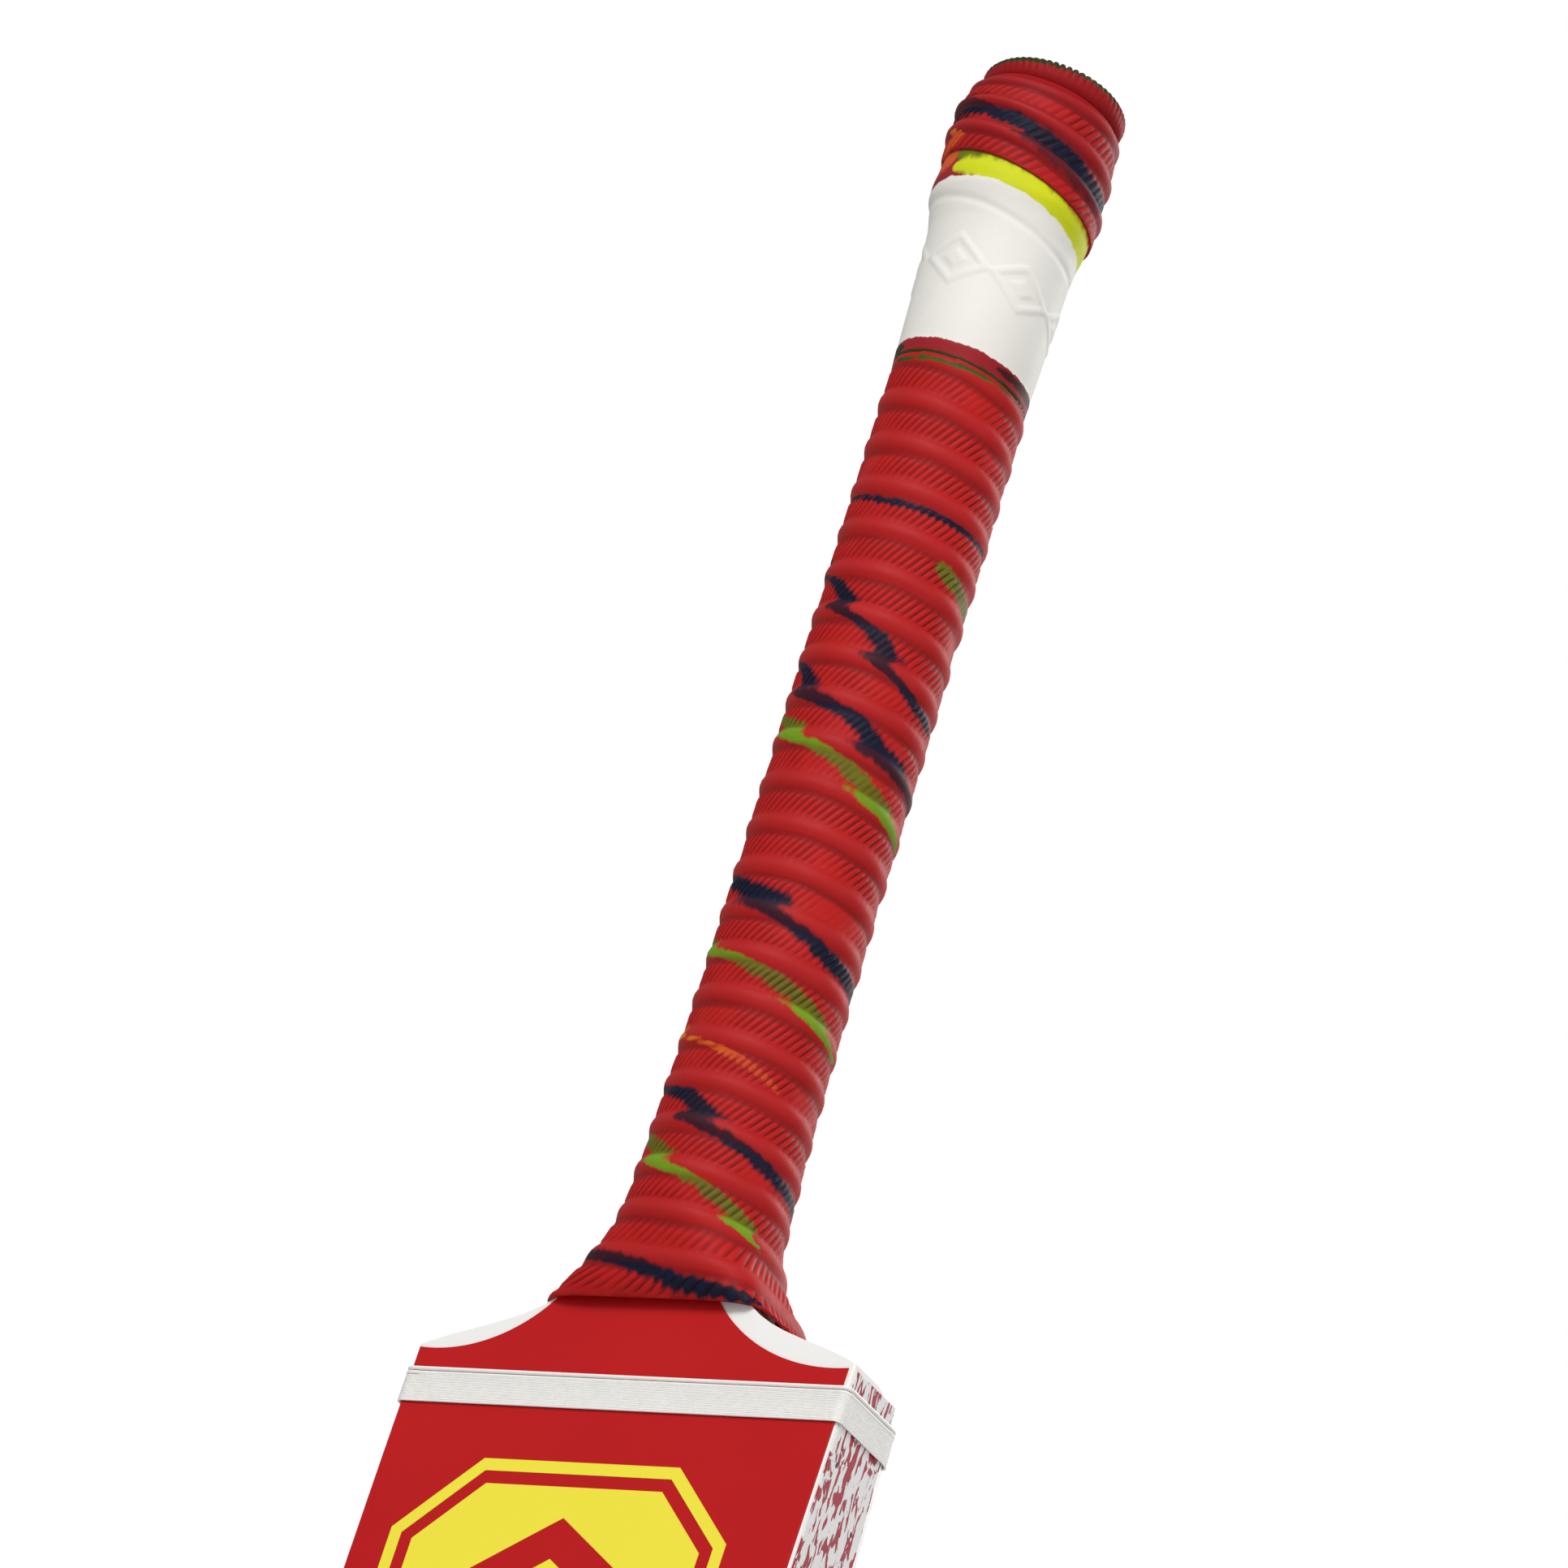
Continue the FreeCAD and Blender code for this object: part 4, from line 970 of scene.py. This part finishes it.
def vinyl_material(name, deep, bright, streaks=None):
    """Printed vinyl label: smooth satin gloss with a faint orange peel, colour a little uneven.
    With streaks it is white with crimson runs along the blade and small dark specks; the two
    numbers thin the runs out, well below the shoulders and at them."""
    material, tree, place = start_material(name)
    cloud, base = uneven_colour(tree, place, 22.0, 3.0, deep, bright)
    if streaks:
        z = add_node(tree, "ShaderNodeSeparateXYZ", {0: place}, out=2)
        long = add_node(tree, "ShaderNodeMapping", {"Vector": place, "Scale": (1, 1, 0.3)})
        runs = add_node(tree, "ShaderNodeTexNoise", {
            "Vector": long, "Scale": 640.0, "Detail": 3.0, "Distortion": 0.9})
        dense = add_node(tree, "ShaderNodeMapRange", {
            "Value": z, "From Min": (SHOULDER - 60) * MM, "From Max": (SHOULDER + 2) * MM,
            "To Min": streaks[0], "To Max": streaks[1]})
        past = add_node(tree, "ShaderNodeMath", {0: runs, 1: dense}, operation="SUBTRACT")
        share = add_node(tree, "ShaderNodeMapRange", {"Value": past, "From Min": 0.0, "From Max": 0.02})
        tone = add_node(tree, "ShaderNodeMapRange", {"Value": past, "From Min": 0.0, "From Max": 0.07})
        ink = add_node(tree, "ShaderNodeMix", {0: tone, 6: colour("#7E1836"), 7: colour("#A0122A")}, 2,
                       data_type="RGBA")
        base = add_node(tree, "ShaderNodeMix", {0: share, 6: base, 7: ink}, 2, data_type="RGBA")
        drawn = add_node(tree, "ShaderNodeMapping", {"Vector": place, "Scale": (1, 1, 0.5)})
        specks = add_node(tree, "ShaderNodeTexVoronoi", {"Vector": drawn, "Scale": 330.0})
        few = add_node(tree, "ShaderNodeTexNoise", {"Vector": place, "Scale": 200.0})
        size = add_node(tree, "ShaderNodeMapRange", {
            "Value": few, "From Min": 0.5, "From Max": 0.7, "To Min": 0.0, "To Max": 0.26})
        spot = add_node(tree, "ShaderNodeMath", {0: specks, 1: size}, operation="LESS_THAN")
        base = add_node(tree, "ShaderNodeMix", {0: spot, 6: base, 7: colour("#3A2630")}, 2,
                        data_type="RGBA")
    peel = add_node(tree, "ShaderNodeTexNoise", {"Vector": place, "Scale": 900.0, "Detail": 1.0})
    wave = add_node(tree, "ShaderNodeTexNoise", {"Vector": place, "Scale": 40.0})
    height = add_node(tree, "ShaderNodeMath", {0: wave, 1: 6.0, 2: peel}, operation="MULTIPLY_ADD")
    roughness = add_node(tree, "ShaderNodeMapRange", {"Value": cloud, "To Min": 0.34, "To Max": 0.46})
    return end_material(material, tree, base, roughness, height, 0.012, {
        "IOR": 1.46, "Specular IOR Level": 0.2})


def cut_corner_outline(half, cut, inset=0.0):
    """Rectangle with its corners cut off, moved in by the inset all round."""
    half_x, half_z = half[0] - inset, half[1] - inset
    cut = cut - inset * CUT_SHRINK
    quarter = ((half_x - cut, half_z), (half_x, half_z - cut))
    right = (*quarter, *((x, -z) for x, z in quarter[::-1]))
    return (*right, *((-x, z) for x, z in right[::-1]))


def frame_of(outline, inner):
    """Quads between two outlines with the same number of corners."""
    count = len(outline)
    return [(outline[at], outline[(at + 1) % count], inner[(at + 1) % count], inner[at])
            for at in range(count)]


def print_on(node, side, name, shapes, material, middle, lift=0.0):
    """Thin print on a label: side is -1 for the face and 1 for the back."""
    work = bmesh.new()
    for shape in shapes:
        work.faces.new([work.verts.new(((middle[0] + x) * MM, 0, (SHOULDER + middle[1] + z) * MM))
                        for x, z in shape])
    bmesh.ops.remove_doubles(work, verts=work.verts, dist=0.01 * MM)
    for axis in (Vector((1, 0, 0)), Vector((0, 0, 1))):
        places = [v.co.dot(axis) for v in work.verts]
        at = min(places) + PRINT_STEP * MM
        while at < max(places):
            bmesh.ops.bisect_plane(work, geom=[*work.verts, *work.edges, *work.faces],
                                   plane_co=axis * at, plane_no=axis)
            at += PRINT_STEP * MM
    surface = surface_of(node)
    for vert in work.verts:
        outside = Vector((vert.co.x, side * PRINT_REACH * MM, vert.co.z))
        hit = surface.ray_cast(outside, Vector((0, -side, 0)))[0]
        vert.co = hit + Vector((0, side * (PRINT_LIFT + lift) * MM, 0))
    bmesh.ops.recalc_face_normals(work, faces=work.faces)
    if sum(face.normal.y for face in work.faces) * side < 0:
        bmesh.ops.reverse_faces(work, faces=work.faces)
    obj = place_object(name, mesh_from(work, name, material))
    solid = obj.modifiers.new("thickness", "SOLIDIFY")
    solid.thickness = 2 * PRINT_THICKNESS * MM
    solid.offset = 0
    return obj


def chevrons(tips):
    """Two slanting bars for each tip, meeting there."""
    half, rise, thick = CHEVRON
    return [((side, tip - rise), (0, tip), (0, tip - thick), (side, tip - rise - thick))
            for tip in tips for side in (-half, half)]


def print_all(node, side, prefix, slot, middle, prints):
    """Lays prints on a label; each has a name, shapes, ink and how many layers lie under it."""
    for name, shapes, ink, layers in prints:
        piece = print_on(node, side, f"{prefix}_{name}", shapes, ink, middle, layers * PRINT_THICKNESS)
        finish_piece(piece, slot)


def face_badge(yellow, red):
    """Cut-cornered badge: a line, a gap and a filled field that carries chevrons."""
    outer, inner, field = (cut_corner_outline(BADGE_HALF, BADGE_CUT, inset)
                           for inset in (0.0, BADGE_LINE, BADGE_LINE + BADGE_GAP))
    tips = [BADGE_TIP - number * CHEVRON_STEP for number in range(CHEVRONS)]
    print_all("face_label", -1, "face", "face_vinyl", BADGE_MIDDLE, (
        ("badge_line", frame_of(outer, inner), yellow, 0),
        ("badge_field", [field], yellow, 0),
        ("badge_chevrons", chevrons(tips), red, 1)))


def back_print(node, middle, half, red, yellow):
    """Red cut-cornered panel with a yellow line round it and yellow chevrons down its middle."""
    panel, outer, inner = (cut_corner_outline(half, BACK_CUT, inset)
                           for inset in (0.0, BACK_MARGIN, BACK_MARGIN + BADGE_LINE))
    tips = [CHEVRON_STEP * (number - CHEVRONS / 2 + BACK_RAISE) + CHEVRON[1] for number in range(CHEVRONS)]
    print_all(node, 1, node, "back_vinyl", middle, (
        ("panel", [panel], red, 0),
        ("line", frame_of(outer, inner), yellow, 1),
        ("chevrons", chevrons(tips), yellow, 1)))


def make_labels():
    red = vinyl_material("printed_red_vinyl", "#B01014", "#BE1618")
    edge_print = vinyl_material("printed_streaked_vinyl", "#DAD9D8", "#E6E5E4", EDGE_STREAKS)
    back_vinyl = vinyl_material("printed_speckled_vinyl", "#DAD9D8", "#E6E5E4", BACK_STREAKS)
    yellow = vinyl_material("yellow_label_ink", "#EADC3C", "#F2E546")
    for node, vinyl in (("face_label", red), ("shoulder_label", red), ("edge_label_left", edge_print),
                        ("edge_label_right", edge_print)):
        dress(node, vinyl)
    face_badge(yellow, red)
    for node, middle, half in (("back_label_upper", BACK_UPPER, BACK_UPPER_HALF),
                               ("back_label_lower", BACK_LOWER, BACK_LOWER_HALF)):
        dress(node, back_vinyl)
        back_print(node, middle, half, red, yellow)
    low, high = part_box("face_label")
    half = high.x / MM - BAR_MARGIN
    bottom = low.z / MM - SHOULDER
    bars = [((-half, at), (half, at), (half, at + BAR_HEIGHT), (-half, at + BAR_HEIGHT))
            for at in (BAR_FOOT + 2 * BAR_HEIGHT * number for number in range(BARS))]
    finish_piece(print_on("face_label", -1, "face_label_bars", bars, yellow, (0, bottom)), "face_vinyl")


make_labels()

# ---------------------------------------------------------------- stage and light

FLOOR_RADIUS = 0.9                 # metres, as the lamps' places and sizes
FLOOR_DROP = 0.5                   # millimetres below the toe
CAMERA_SEES = 1.0                  # strength of the surround as seen
SURROUND = 0.42                    # strength of the surround as light
LAMPS = (
    ("key", (0.5, -2.0, 1.65), 1.4, 50.0),
    ("fill", (2.2, -0.6, 0.4), 1.6, 10.0),
    ("rear", (0.6, 2.2, 1.4), 1.6, 34.0),
)


def make_stage():
    """Pale round floor under the toe, white surround, a large soft key and weaker lamps round it."""
    material, tree, place = start_material("painted_pale_floor")
    grain, tone = uneven_colour(tree, place, 60.0, 2.0, "#D8D7D4", "#DFDEDC")
    end_material(material, tree, tone, 0.6, grain, 0.02)
    work = bmesh.new()
    bmesh.ops.create_circle(work, cap_ends=True, segments=128, radius=FLOOR_RADIUS)
    floor = place_object("floor", mesh_from(work, "floor", material))
    floor.location.z = -FLOOR_DROP * MM

    world = bpy.data.worlds.new("studio")
    world.use_nodes = True
    tree = world.node_tree
    tree.nodes.clear()
    seen = add_node(tree, "ShaderNodeBackground", {"Color": (1, 1, 1, 1), "Strength": CAMERA_SEES})
    light = add_node(tree, "ShaderNodeBackground", {"Color": (1, 1, 1, 1), "Strength": SURROUND})
    rays = add_node(tree, "ShaderNodeLightPath")
    both = add_node(tree, "ShaderNodeMixShader", {0: rays, 1: light, 2: seen})
    add_node(tree, "ShaderNodeOutputWorld", {"Surface": both})
    bpy.context.scene.world = world

    middle = Vector((0, 0, (SHOULDER + 100) * MM))
    for name, place, size, power in LAMPS:
        data = bpy.data.lights.new(name, "AREA")
        data.shape = "DISK"
        data.size = size
        data.energy = power
        lamp = place_object(name, data)
        lamp.location = middle + Vector(place)
        lamp.rotation_euler = (-Vector(place)).to_track_quat("-Z", "Y").to_euler()
    bpy.context.scene.view_settings.view_transform = "Standard"


make_stage()
